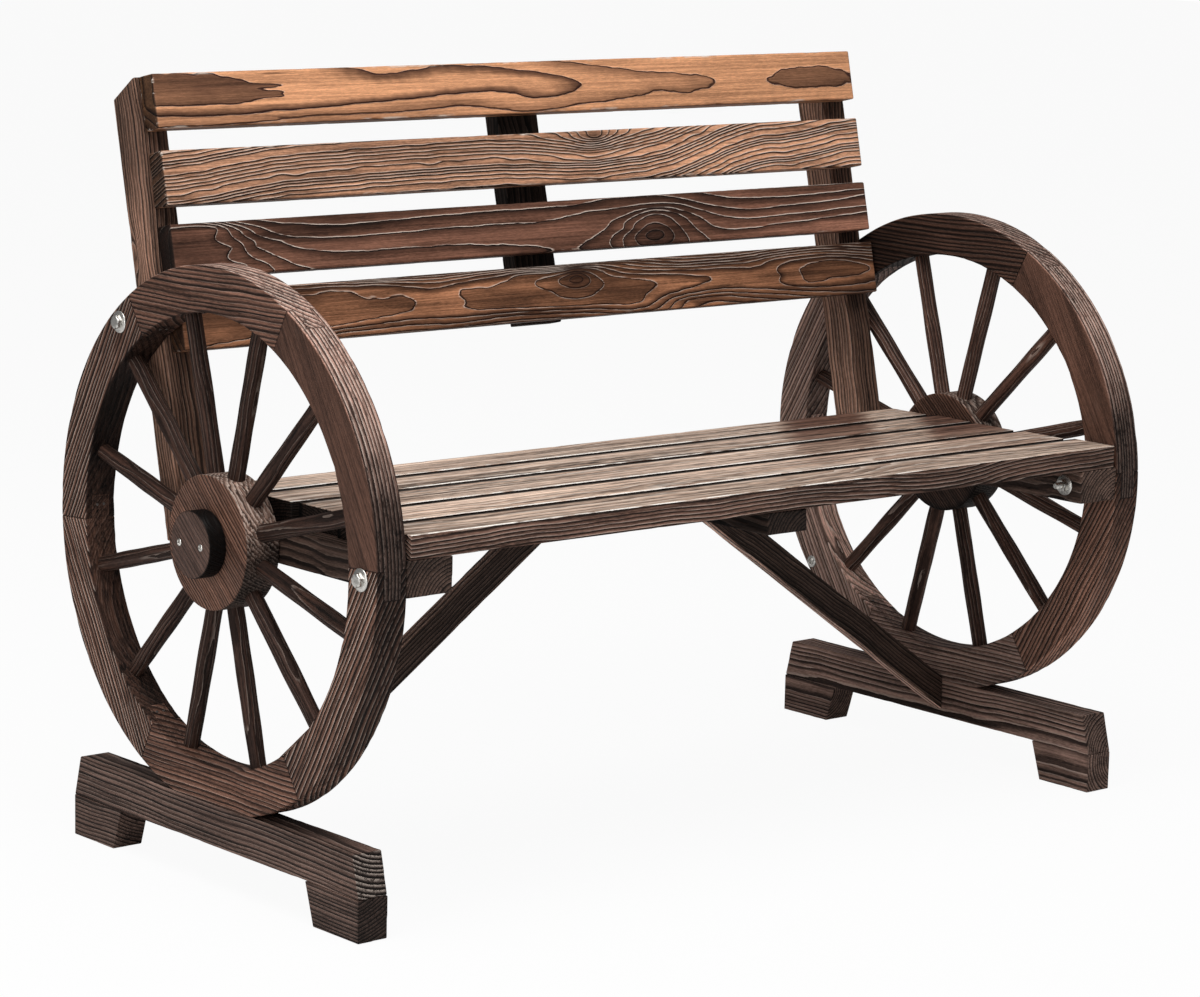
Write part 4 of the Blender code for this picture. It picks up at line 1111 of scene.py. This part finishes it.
class BENCH_OT_hubs(bpy.types.Operator):
    """Build the hubs and their caps"""

    bl_idname = "bench.hubs"
    bl_label = "Hubs and caps"

    def execute(self, context):
        for side, sign in SIDES:
            # Painted light and shade: the right hub's face is darker, in shade; each hub's wall is dark below the axle
            # and light above it; the caps' walls are near black, partly charred and partly painted shade.
            add_disc(f"{side}_hub", side, sign, f"wheel_{side}_hub", "hub", 300 + int(sign),
                     0.068, 0.0016, 0.0032, 0.93 if sign < 0 else 0.46, (0.22, 1.2), "hub_wall")
            add_disc(f"{side}_hub_cap", side, sign, f"wheel_{side}_hub_cap", "cap", 310 + int(sign),
                     0.034, 0.0016, 0.0045, 1.0, (0.03, 0.03))
        return {"FINISHED"}


class BENCH_OT_runners(bpy.types.Operator):
    """Build the two runner beams and the four feet under their ends"""

    bl_idname = "bench.runners"
    bl_label = "Runners and feet"

    def execute(self, context):
        sizes = context.scene.bench_sizes
        height = BEAM_TOP_Z - BEAM_BASE_Z
        for side, sign in SIDES:
            seed = 400 + (10 if sign > 0 else 0)
            place = frame_of((sign * WHEEL_X, 0.0, (BEAM_TOP_Z + BEAM_BASE_Z) / 2.0), (0.0, -1.0, 0.0),
                             (0.0, 0.0, 1.0))

            def sloped_ends(points):
                shaped = points.copy()
                up = points[:, 1] / height + 0.5
                shaped[:, 0] *= (BEAM_BASE_HALF + (BEAM_TOP_HALF - BEAM_BASE_HALF) * up) / BEAM_BASE_HALF
                return shaped

            pith, pitch = ((0.075, -0.02), 0.0046) if sign < 0 else ((-0.030, -0.030), 0.0036)

            def front_end(middles, half):
                """The left beam's front end shows strong pale lines along its rings, painted highlights on the raised
                grain.
                """
                return (middles[:, 0] > half[0] - 0.0006) & (sign < 0)

            def beam_tone(points, half):
                """The right beam's front end is darker than its sides, a painted shade on the face turned from the
                light.
                """
                return 0.54 if sign < 0 else 0.92 - 0.32 * smooth_step(half[0] - 0.002, half[0] - 0.0005, points[:, 0])

            add_timber(f"{side}_runner_beam", (2.0 * BEAM_BASE_HALF, height, RIM_THICKNESS), steps((9, 3, 3)),
                       sizes.frame_ease, seed, place, "runner",
                       lambda timber: plain_rings(timber, seed, pitch, pith, wander=0.2),
                       tone=beam_tone, shape=sloped_ends, stands_for=(f"runner_{side}",),
                       second="runner_end", on_second=front_end)
            for end, toward in (("front", -1.0), ("rear", 1.0)):
                outer = BEAM_BASE_HALF
                floor_middle = (outer + FOOT_INNER_FLOOR) / 2.0

                def splayed(points):
                    shaped = points.copy()
                    up = np.clip(points[:, 1] / BEAM_BASE_Z + 0.5, 0.0, 1.0)
                    inner = FOOT_INNER_FLOOR + (FOOT_INNER_TOP - FOOT_INNER_FLOOR) * up
                    share = points[:, 0] / (outer - FOOT_INNER_FLOOR) + 0.5
                    shaped[:, 0] = inner + (outer - inner) * share - floor_middle
                    return shaped

                foot_seed = seed + (3 if toward < 0 else 5)
                foot_place = frame_of((sign * WHEEL_X, toward * floor_middle, BEAM_BASE_Z / 2.0),
                                      (0.0, toward, 0.0), (0.0, 0.0, 1.0))
                body_tone = 0.44 if sign < 0 else 0.85
                end_tone = 0.15 if (sign < 0 and toward < 0) else 0.75 * body_tone
                foot_pith = (0.12, 0.05) if sign < 0 else (0.013, -0.030)

                # The feet's ends are darker, the left front foot's front end darkest: painted shade on faces turned
                # from the light.
                def foot_tone(points, half):
                    at_end = smooth_step(half[0] - 0.002, half[0] - 0.0005, points[:, 0])
                    return body_tone + (end_tone - body_tone) * at_end

                add_timber(f"{side}_{end}_foot", (outer - FOOT_INNER_FLOOR, BEAM_BASE_Z - 0.0003, RIM_THICKNESS),
                           steps((4, 3, 3)), 0.0008, foot_seed, foot_place, "runner",
                           lambda timber: plain_rings(timber, foot_seed, 0.0038, foot_pith, wander=0.2),
                           tone=foot_tone, shape=splayed)
        return {"FINISHED"}


class BENCH_OT_seat(bpy.types.Operator):
    """Build the five seat boards"""

    bl_idname = "bench.seat"
    bl_label = "Seat boards"

    def execute(self, context):
        sizes = context.scene.bench_sizes
        piths = ((0.035, -0.12), (-0.030, -0.10), (0.040, -0.11), (-0.035, -0.13), (0.045, -0.10))
        tones = (0.76, 1.02, 0.98, 0.95, 0.93)

        def front_arris(points, half):
            """The front arris is rubbed, on the upper face alone, and less toward the right: its pale line is partly
            wear and partly a painted highlight where the arris catches the light.
            """
            top = smooth_step(half[2] - 0.0008, half[2] - 0.0002, points[:, 2])
            near = 1.0 - smooth_step(0.0026, 0.0056, points[:, 1] + half[1])
            return top * near * (1.0 - 0.5 * smooth_step(0.0, 0.35, points[:, 0]))

        def not_top(middles, half):
            return middles[:, 2] < half[2] - 0.0004

        for number in range(5):
            node = f"seat_board_{number + 1}"
            low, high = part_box(node)
            size = high - low
            place = frame_of((low + high) / 2.0, (1.0, 0.0, 0.0), (0.0, 1.0, 0.0))
            seed = 500 + number

            def rings(timber):
                """Straight grain, with one sag in the front board's edge."""
                sag = np.exp(-((timber[:, 0] - 0.21) / 0.11) ** 2) if number == 0 else 0.0
                return plain_rings(timber, seed, 0.0040 if number == 0 else 0.0031, piths[number], wander=0.30) + 3.6 * sag

            def tone(points, half):
                """Painted light and shade: the top faces lit and the other faces dark, the front edge of the front
                board darker toward the right, and painted shade along the rear edge of each board in front of a gap.
                """
                sides = 1.05 - 0.35 * smooth_step(-0.05, 0.35, points[:, 0]) if number == 0 else 0.06
                shade = tones[number] * painted_face_light(points, half, 1.0, sides, depth=0.0006)
                # Painted shade: a dark strip along the rear edge of the top, beside the gap behind the board.
                scorched = smooth_step(half[1] - 0.0078, half[1] - 0.0052, points[:, 1]) if number < 4 else 0.0
                return shade * (1.0 - 0.97 * scorched)

            def painted_dark_reflection(timber):
                """Painted reflection of the right post and wheel: two dark bands that slant across the boards. The
                boards also darken slowly toward the right end.
                """
                x, y = timber[:, 0], timber[:, 1] + (low.y + high.y) / 2.0
                slant = x - 0.77 * y + 0.007 * waves(x + 3.0 * y, seed, (0.11, 0.05, 0.023), (0.6, 0.5, 0.3))
                middle_band = smooth_step(0.225, 0.265, slant) * (1.0 - smooth_step(0.355, 0.395, slant))
                middle_band *= np.clip((y + 0.244) / 0.245, 0.0, 0.95)
                end_band = smooth_step(0.430, 0.465, slant) * np.clip((y + 0.195) / 0.10, 0.0, 0.95)
                return np.maximum(np.maximum(middle_band, end_band), 0.12 * smooth_step(0.0, 0.42, x) * (number > 0))

            # The knot reading carries the painted dark reflection across the seat.
            add_timber(f"seat_plank_{number + 1}", tuple(size), steps((9, 3, 3)), sizes.seat_ease, seed, place,
                       "seat", rings, tone=tone, stands_for=(node,), knot=painted_dark_reflection, worn=front_arris,
                       second="seat_side", on_second=not_top)
        return {"FINISHED"}


class BENCH_OT_seat_frame(bpy.types.Operator):
    """Build the side rails and the cleat under the seat"""

    bl_idname = "bench.seat_frame"
    bl_label = "Rails and cleat"

    def execute(self, context):
        sizes = context.scene.bench_sizes
        # The cleat under the seat is painted dark, a painted shade where the seat shadows it.
        for node, seed, tone in (("side_rail_left", 600, 0.34), ("side_rail_right", 601, 0.55),
                                 ("seat_cleat", 602, 0.145)):
            low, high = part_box(node)
            size = high - low
            middle = (low + high) / 2.0
            place = frame_of(middle, (0.0, -1.0, 0.0), (1.0, 0.0, 0.0))
            shape = None
            if node != "seat_cleat":
                slope = math.tan(BACK_LEAN)

                def shape(points, slope=slope, length=size.y, height=size.z):
                    """The rear end is cut to the post's leaning face."""
                    shaped = points.copy()
                    up = -points[:, 2] if place.to_3x3().col[2].z < 0.0 else points[:, 2]
                    share = 0.5 - points[:, 0] / length
                    shaped[:, 0] += share * (height / 2.0 - up) * slope
                    return shaped

            add_timber(node.replace("side_", "seat_") + "_timber", (size.y, size.x, size.z), steps((8, 3.2, 3.2)),
                       sizes.frame_ease, seed, place, "frame",
                       lambda timber: plain_rings(timber, seed, 0.0040, (0.035, -0.03), wander=0.5),
                       tone=tone, shape=shape, stands_for=(node,))
        return {"FINISHED"}


class BENCH_OT_braces(bpy.types.Operator):
    """Build the two slanting braces"""

    bl_idname = "bench.braces"
    bl_label = "Braces"

    def execute(self, context):
        sizes = context.scene.bench_sizes
        top_in, foot_low, foot_high, top_out = (np.array(corner) for corner in BRACE_CORNERS)
        along = (foot_low - top_in) / np.linalg.norm(foot_low - top_in)
        across = np.array((-along[1], along[0]))
        middle = (top_in + foot_low + foot_high + top_out) / 4.0

        def in_brace(corner):
            return float((corner - middle) @ along), float((corner - middle) @ across)

        corners = [in_brace(c) for c in (top_in, foot_low, foot_high, top_out)]
        low_side = (corners[0][1] + corners[1][1]) / 2.0
        high_side = (corners[2][1] + corners[3][1]) / 2.0
        width = high_side - low_side
        lengthwise = (corners[1][0] + corners[2][0] - corners[0][0] - corners[3][0]) / 2.0

        def mitred(points):
            """Both ends are cut to the seat's underside and to the wheel's face."""
            shaped = points.copy()
            up = points[:, 1] / width + 0.5
            share = points[:, 0] / lengthwise + 0.5
            start = corners[0][0] + (corners[3][0] - corners[0][0]) * up
            end = corners[1][0] + (corners[2][0] - corners[1][0]) * up
            shaped[:, 0] = start + (end - start) * share
            shaped[:, 1] += (low_side + high_side) / 2.0
            return shaped

        for side, sign in SIDES:
            seed = 700 + (1 if sign > 0 else 0)
            place = frame_of((sign * middle[0], sum(BRACE_Y) / 2.0, middle[1]), (sign * along[0], 0.0, along[1]),
                             (sign * across[0], 0.0, across[1]))

            # Painted light: the long edge face turned toward the left lamp is painted much lighter than the other
            # faces.
            def painted_edge_light(points, half):
                return (0.42 if sign < 0 else 0.40) + (1.7 if sign < 0 else 4.0) * smooth_step(half[1] - 0.0012, half[1] - 0.0003, -sign * points[:, 1])

            add_timber(f"{side}_brace_timber", (lengthwise, width, BRACE_Y[1] - BRACE_Y[0]), steps((9, 3, 3)),
                       0.001, seed, place, "frame",
                       lambda timber: plain_rings(timber, seed, 0.0036, (0.09, 0.05), wander=0.5),
                       tone=painted_edge_light, shape=mitred, stands_for=(f"brace_{side}",))
        return {"FINISHED"}


class BENCH_OT_slats(bpy.types.Operator):
    """Build the four back slats"""

    bl_idname = "bench.slats"
    bl_label = "Back slats"

    def execute(self, context):
        sizes = context.scene.bench_sizes
        up, rear = back_axes()
        for number, (low, high) in enumerate(SLAT_SPANS):
            place = frame_of(back_place((low + high) / 2.0, SLAT_THICKNESS / 2.0), (1.0, 0.0, 0.0), up)
            seed = 800 + number
            knots = slat_knots(number)
            add_timber(f"back_slat_timber_{number + 1}", (2.0 * SLAT_HALF_LENGTH, high - low, SLAT_THICKNESS),
                       steps((3, 1.3, 3)), sizes.slat_ease, seed, place, f"slat_{number + 1}",
                       slat_rings(number), tone=slat_tone(number), stands_for=(f"back_slat_{number + 1}",),
                       knot=lambda timber: knot_hills(timber, knots), fill=slat_fill(number), drawn=True)
        return {"FINISHED"}


class BENCH_OT_back_frame(bpy.types.Operator):
    """Build the two leaning back posts and the batten behind the slats"""

    bl_idname = "bench.back_frame"
    bl_label = "Posts and batten"

    def execute(self, context):
        sizes = context.scene.bench_sizes
        up, rear = back_axes()
        depth = POST_DEPTH[1] - POST_DEPTH[0]
        for side, sign in SIDES:
            node = f"back_post_{side}"
            low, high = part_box(node)
            top = (high.z - BACK_ORIGIN.z + POST_DEPTH[0] * math.sin(BACK_LEAN)) / math.cos(BACK_LEAN)

            def cut(points):
                """A level foot, and a top that is flat at the front and falls to the rear."""
                shaped = points.copy()
                n = (POST_DEPTH[0] + POST_DEPTH[1]) / 2.0 - points[:, 1]
                foot = (POST_FOOT_Z - BACK_ORIGIN.z + n * math.sin(BACK_LEAN)) / math.cos(BACK_LEAN)
                behind = np.maximum(0.0, n - POST_DEPTH[0] - POST_TOP_FLAT)
                head = top - POST_TOP_FALL * behind / (depth - POST_TOP_FLAT)
                shaped[:, 0] = foot + (head - foot) * (points[:, 0] + 0.5)
                return shaped

            seed = 900 + (1 if sign > 0 else 0)
            place = frame_of(back_place(0.0, sum(POST_DEPTH) / 2.0, sign * sum(POST_X) / 2.0), up, -rear)
            add_post(f"{side}_post_timber", depth, POST_X[1] - POST_X[0], sizes, seed, place, cut, node)
        span = BATTEN_SPAN[1] - BATTEN_SPAN[0]
        place = frame_of(back_place(sum(BATTEN_SPAN) / 2.0, sum(BATTEN_DEPTH) / 2.0), up, (1.0, 0.0, 0.0))
        # The batten behind the slats is painted dark, a painted shade where the slats shadow it.
        add_timber("back_batten_timber", (span, 2.0 * BATTEN_HALF_WIDTH, BATTEN_DEPTH[1] - BATTEN_DEPTH[0]),
                   steps((8, 3, 3)), sizes.frame_ease, 910, place, "frame",
                   lambda timber: plain_rings(timber, 910, 0.0040, (0.03, 0.06), wander=0.6),
                   tone=0.13, stands_for=("back_batten",))
        return {"FINISHED"}


def add_post(name, depth, width, sizes, seed, place, cut, node):
    """One back post: its length is stretched between the two cuts, so it starts as a share of 1."""
    ease = sizes.frame_ease
    low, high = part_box(node)
    tall = high.z - low.z
    points, quads, edge = squared_timber((tall, depth, width), steps((8, 3, 3)), ease, sizes.nick, seed)
    # Painted light and shade: the side faces are painted lighter than the front face, which the slats shadow; the
    # sides get darker toward the top, the left post's most.
    side_tone, front_tone = (1.05, 0.48) if seed == 900 else (1.22, 0.55)
    side_tone = side_tone * (1.0 - (0.45 if seed == 900 else 0.15) * smooth_step(0.15, 0.42, points[:, 0] / tall))
    on_front = smooth_step(depth / 2.0 - 0.0015, depth / 2.0 - 0.0004, points[:, 1])
    tone = side_tone + (front_tone - side_tone) * on_front
    points[:, 0] /= tall
    points = cut(points)
    knots = ((0.2385, -0.0122, 0.022, 0.008, 3.0),) if seed == 900 else ()
    rings = plain_rings(points, seed, 0.0036, (0.06, 0.04), wander=0.6, knots=knots)
    add_piece(name, moved(points, place), quads, timber_material("post"),
              readings_of(points, edge, seed, rings, tone), (node,))


class BENCH_OT_fastenings(bpy.types.Operator):
    """Build the bolts, washers, nuts, screws and nails"""

    bl_idname = "bench.fastenings"
    bl_label = "Fastenings"

    def execute(self, context):
        sizes = context.scene.bench_sizes
        colours = context.scene.bench_colours
        zinc = metal_material("zinc_plate", colours.zinc, 0.24, 0.46)
        steel = metal_material("dull_steel", colours.nail, 0.45, 0.65)
        rail_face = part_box("side_rail_right")[0].x
        cap_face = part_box("wheel_right_hub_cap")[1].x
        rim_face = WHEEL_X + RIM_THICKNESS / 2.0
        for side, sign in SIDES:
            for spot, (y, z), inner in (("front", FRONT_BOLT, rail_face), ("rear", REAR_BOLT, POST_X[0])):
                outward = frame_of((sign * rim_face, y, z), (sign, 0.0, 0.0), (0.0, 0.35, 1.0))
                inward = frame_of((sign * inner, y, z), (-sign, 0.0, 0.0), (0.0, 0.2, 1.0))
                head = joined(washer(sizes.washer_radius, 0.0017), hex_head(sizes.bolt_flats, 0.0017, 0.0052))
                nut = joined(washer(sizes.washer_radius, 0.0017), hex_head(sizes.bolt_flats, 0.0017, 0.0062),
                             thread_end(0.0038, 0.0070, 0.0085))
                add_piece(f"{side}_{spot}_bolt_head", moved(head[0], outward), head[1], zinc)
                add_piece(f"{side}_{spot}_bolt_nut", moved(nut[0], inward), nut[1], zinc)
            for spot, y in (("front", -CAP_SCREW_SPREAD), ("rear", CAP_SCREW_SPREAD)):
                place = frame_of((sign * cap_face, y, WHEEL_Z), (sign, 0.0, 0.0), (0.0, 0.5, 1.0))
                points, quads = crossed_screw(sizes.screw_radius, 0.0014)
                add_piece(f"{side}_cap_screw_{spot}", moved(points, place), quads, zinc)
            heads = []
            for joint in range(6):
                for aside in (-0.004, 0.004):
                    turn = math.radians(60.0 * joint + 0.6)
                    spot = Vector((sign * (WHEEL_X + aside), RIM_BORE * math.cos(turn),
                                   WHEEL_Z + RIM_BORE * math.sin(turn)))
                    place = frame_of(spot, (0.0, -math.cos(turn), -math.sin(turn)), (1.0, 0.0, 0.0))
                    points, quads = nail_head(sizes.nail_radius)
                    heads.append((moved(points, place), quads))
            points, quads = joined(*heads)
            add_piece(f"{side}_rim_nails", points, quads, steel)
        y, z = RIM_SCREW
        place = frame_of((WHEEL_X - RIM_THICKNESS / 2.0, y, z), (-1.0, 0.0, 0.0), (0.0, 0.0, 1.0))
        screw = joined(washer(0.0072, 0.0012), crossed_screw(0.0042, 0.0022, 0.0012))
        add_piece("right_rim_screw", moved(screw[0], place), screw[1], zinc)
        return {"FINISHED"}


def washer(radius, thick):
    """A pressed washer with a rounded rim."""
    ease = thick * 0.4
    profile = [(0.0, 0.0, 0.0), (0.0, radius - ease, 0.0), (ease, radius, 0.0), (thick - ease, radius, 0.0),
               (thick, radius - ease, 0.0), (thick, 0.0, 0.0)]
    points, quads, edge = turned(profile, 40)
    return points, quads


def hex_head(flats, start, tall):
    """A hexagon with its corners turned off, standing on a washer."""
    sides = 48
    points, rows = [], []
    angles = np.arange(sides) * 2.0 * math.pi / sides
    flat = flats / 2.0 / np.cos((angles + math.pi / 6.0) % (math.pi / 3.0) - math.pi / 6.0)
    for x, limit in ((start, 9.0), (start + 0.72 * tall, 9.0), (start + 0.88 * tall, 1.06), (start + tall, 0.96),
                     (start + tall, 0.55)):
        reach = np.minimum(flat, limit * flats / 2.0)
        rows.append(list(range(len(points), len(points) + sides)))
        points.extend((x, r * math.cos(a), r * math.sin(a)) for r, a in zip(reach, angles))
    quads = [(a[i], a[(i + 1) % sides], b[(i + 1) % sides], b[i]) for a, b in zip(rows, rows[1:])
             for i in range(sides)]
    return np.array(points), quads + [tuple(reversed(rows[0])), tuple(rows[-1])]


def thread_end(radius, start, reach):
    """The threaded end of a bolt: ridges that shrink to a chamfered tip."""
    profile = [(start, 0.0, 0.0)]
    pitch = 0.00125
    for i in range(int(reach / pitch)):
        x = start + i * pitch
        profile += [(x, radius * 0.84, 0.0), (x + pitch / 2.0, radius, 0.0)]
    profile += [(start + reach, radius * 0.74, 0.0), (start + reach, 0.0, 0.0)]
    points, quads, edge = turned(profile, 24)
    return points, quads


def crossed_screw(radius, tall, start=0.0):
    """A domed screw head with a cross pressed into it."""
    profile = [(start, 0.0, 0.0), (start, radius, 0.0)]
    for i in range(9):
        a = i / 9.0 * math.pi / 2.0
        profile.append((start + tall * (0.25 + 0.75 * math.sin(a)), radius * math.cos(a), 0.0))
    profile.append((start + tall, 0.0, 0.0))
    points, quads, edge = turned(profile, 48)
    y, z = points[:, 1], points[:, 2]
    arm = np.minimum(np.abs(y), np.abs(z)) < 0.22 * radius
    reach = np.maximum(np.abs(y), np.abs(z)) < 0.70 * radius
    points[:, 0] = np.where(arm & reach & (points[:, 0] > start + 0.3 * tall), start + 0.08 * tall, points[:, 0])
    return points, quads


def nail_head(radius):
    """A small domed nail head."""
    profile = [(0.0, 0.0, 0.0), (0.0, radius, 0.0), (0.0003, 0.92 * radius, 0.0), (0.0005, 0.5 * radius, 0.0),
               (0.00055, 0.0, 0.0)]
    points, quads, edge = turned(profile, 16)
    return points, quads


class BENCH_OT_stage(bpy.types.Operator):
    """Build the floor, the soft light and the photograph's camera"""

    bl_idname = "bench.stage"
    bl_label = "Studio"

    def execute(self, context):
        scene = context.scene
        scene.view_settings.view_transform = "Standard"
        self.add_floor(scene)
        self.add_light(scene)
        self.add_camera(scene)
        return {"FINISHED"}

    def white_to_camera(self, w):
        """1 for rays that should see the white studio."""
        return w.node("ShaderNodeLightPath").outputs["Is Camera Ray"]

    def add_floor(self, scene):
        mesh = bpy.data.meshes.new("studio_floor")
        grid = bmesh.new()
        bmesh.ops.create_grid(grid, x_segments=8, y_segments=8, size=15.0)
        grid.to_mesh(mesh)
        grid.free()
        floor = bpy.data.objects.new("studio_floor", mesh)
        scene.collection.objects.link(floor)
        floor.location.z = -0.0005
        material = bpy.data.materials.new("pale_floor")
        material.use_nodes = True
        material.node_tree.nodes.clear()
        w = Wiring(material.node_tree)
        paint = w.node("ShaderNodeBsdfDiffuse")
        paint.inputs["Color"].default_value = (*scene.bench_colours.floor, 1.0)
        glow = w.node("ShaderNodeEmission")
        mixed = w.node("ShaderNodeMixShader")
        w.feed(mixed.inputs[0], w.sum("MULTIPLY", self.white_to_camera(w), 0.94))
        w.feed(mixed.inputs[1], paint.outputs[0])
        w.feed(mixed.inputs[2], glow.outputs[0])
        w.feed(w.node("ShaderNodeOutputMaterial").inputs["Surface"], mixed.outputs[0])
        mesh.materials.append(material)

    def add_light(self, scene):
        world = bpy.data.worlds.new("white_studio")
        scene.world = world
        world.use_nodes = True
        world.node_tree.nodes.clear()
        w = Wiring(world.node_tree)
        lit = w.node("ShaderNodeBackground")
        lit.inputs["Strength"].default_value = 0.22
        white = w.node("ShaderNodeBackground")
        white.inputs["Color"].default_value = (1.0, 1.0, 1.0, 1.0)
        lit.inputs["Color"].default_value = (1.0, 1.0, 1.0, 1.0)
        mixed = w.node("ShaderNodeMixShader")
        w.feed(mixed.inputs[0], self.white_to_camera(w))
        w.feed(mixed.inputs[1], lit.outputs[0])
        w.feed(mixed.inputs[2], white.outputs[0])
        w.feed(w.node("ShaderNodeOutputWorld").inputs["Surface"], mixed.outputs[0])
        for name, place, aim, size, power in (
                ("soft_top", (-0.9, -0.8, 3.0), (0.0, 0.0, 0.3), 2.4, 90.0),
                ("soft_left", (-3.4, -0.6, 1.1), (0.0, 0.0, 0.4), 2.2, 32.0)):
            lamp = bpy.data.lights.new(name, "AREA")
            lamp.shape = "SQUARE"
            lamp.size = size
            lamp.energy = power
            holder = bpy.data.objects.new(name, lamp)
            scene.collection.objects.link(holder)
            holder.location = place
            holder.rotation_euler = (Vector(aim) - Vector(place)).to_track_quat("-Z", "Y").to_euler()

    def add_camera(self, scene):
        ahead = Vector((math.sin(CAMERA_YAW) * math.cos(CAMERA_PITCH), math.cos(CAMERA_YAW) * math.cos(CAMERA_PITCH),
                        math.sin(CAMERA_PITCH)))
        right = Vector((math.cos(CAMERA_YAW), -math.sin(CAMERA_YAW), 0.0))
        up = right.cross(ahead)
        rolled_right = right * math.cos(CAMERA_ROLL) + up * math.sin(CAMERA_ROLL)
        rolled_up = up * math.cos(CAMERA_ROLL) - right * math.sin(CAMERA_ROLL)
        camera = bpy.data.cameras.new("photo_camera")
        camera.sensor_fit = "HORIZONTAL"
        camera.sensor_width = 36.0
        camera.lens = CAMERA_LENS
        camera.clip_end = 100.0
        holder = bpy.data.objects.new("photo_camera", camera)
        scene.collection.objects.link(holder)
        place = Matrix((rolled_right, rolled_up, -ahead)).transposed().to_4x4()
        place.translation = CAMERA_PLACE
        holder.matrix_world = place
        scene.camera = holder


OPERATORS = (BENCH_OT_rims, BENCH_OT_spokes, BENCH_OT_hubs, BENCH_OT_runners, BENCH_OT_seat, BENCH_OT_seat_frame,
             BENCH_OT_braces, BENCH_OT_slats, BENCH_OT_back_frame, BENCH_OT_fastenings, BENCH_OT_stage)


class BENCH_PT_panel(bpy.types.Panel):
    """The bench's pieces, sizes and colours"""

    bl_idname = "BENCH_PT_panel"
    bl_label = "Wagon Wheel Bench"
    bl_space_type = "VIEW_3D"
    bl_region_type = "UI"
    bl_category = "Bench"

    def draw(self, context):
        pieces = self.layout.column(align=True)
        for operator in OPERATORS:
            pieces.operator(operator.bl_idname, text=operator.bl_label)
        for group in (context.scene.bench_sizes, context.scene.bench_colours):
            values = self.layout.column()
            for key in group.__annotations__:
                values.prop(group, key)


CLASSES = (BenchSizes, BenchColours, *OPERATORS, BENCH_PT_panel)


def register():
    for each in CLASSES:
        bpy.utils.register_class(each)
    bpy.types.Scene.bench_sizes = bpy.props.PointerProperty(type=BenchSizes)
    bpy.types.Scene.bench_colours = bpy.props.PointerProperty(type=BenchColours)


def unregister():
    del bpy.types.Scene.bench_colours
    del bpy.types.Scene.bench_sizes
    for each in reversed(CLASSES):
        bpy.utils.unregister_class(each)


def main():
    """Builds the whole bench."""
    register()
    for build in (bpy.ops.bench.stage, bpy.ops.bench.rims, bpy.ops.bench.spokes, bpy.ops.bench.hubs,
                  bpy.ops.bench.runners, bpy.ops.bench.seat, bpy.ops.bench.seat_frame, bpy.ops.bench.braces,
                  bpy.ops.bench.slats, bpy.ops.bench.back_frame, bpy.ops.bench.fastenings):
        build()


if __name__ == "__main__":
    main()
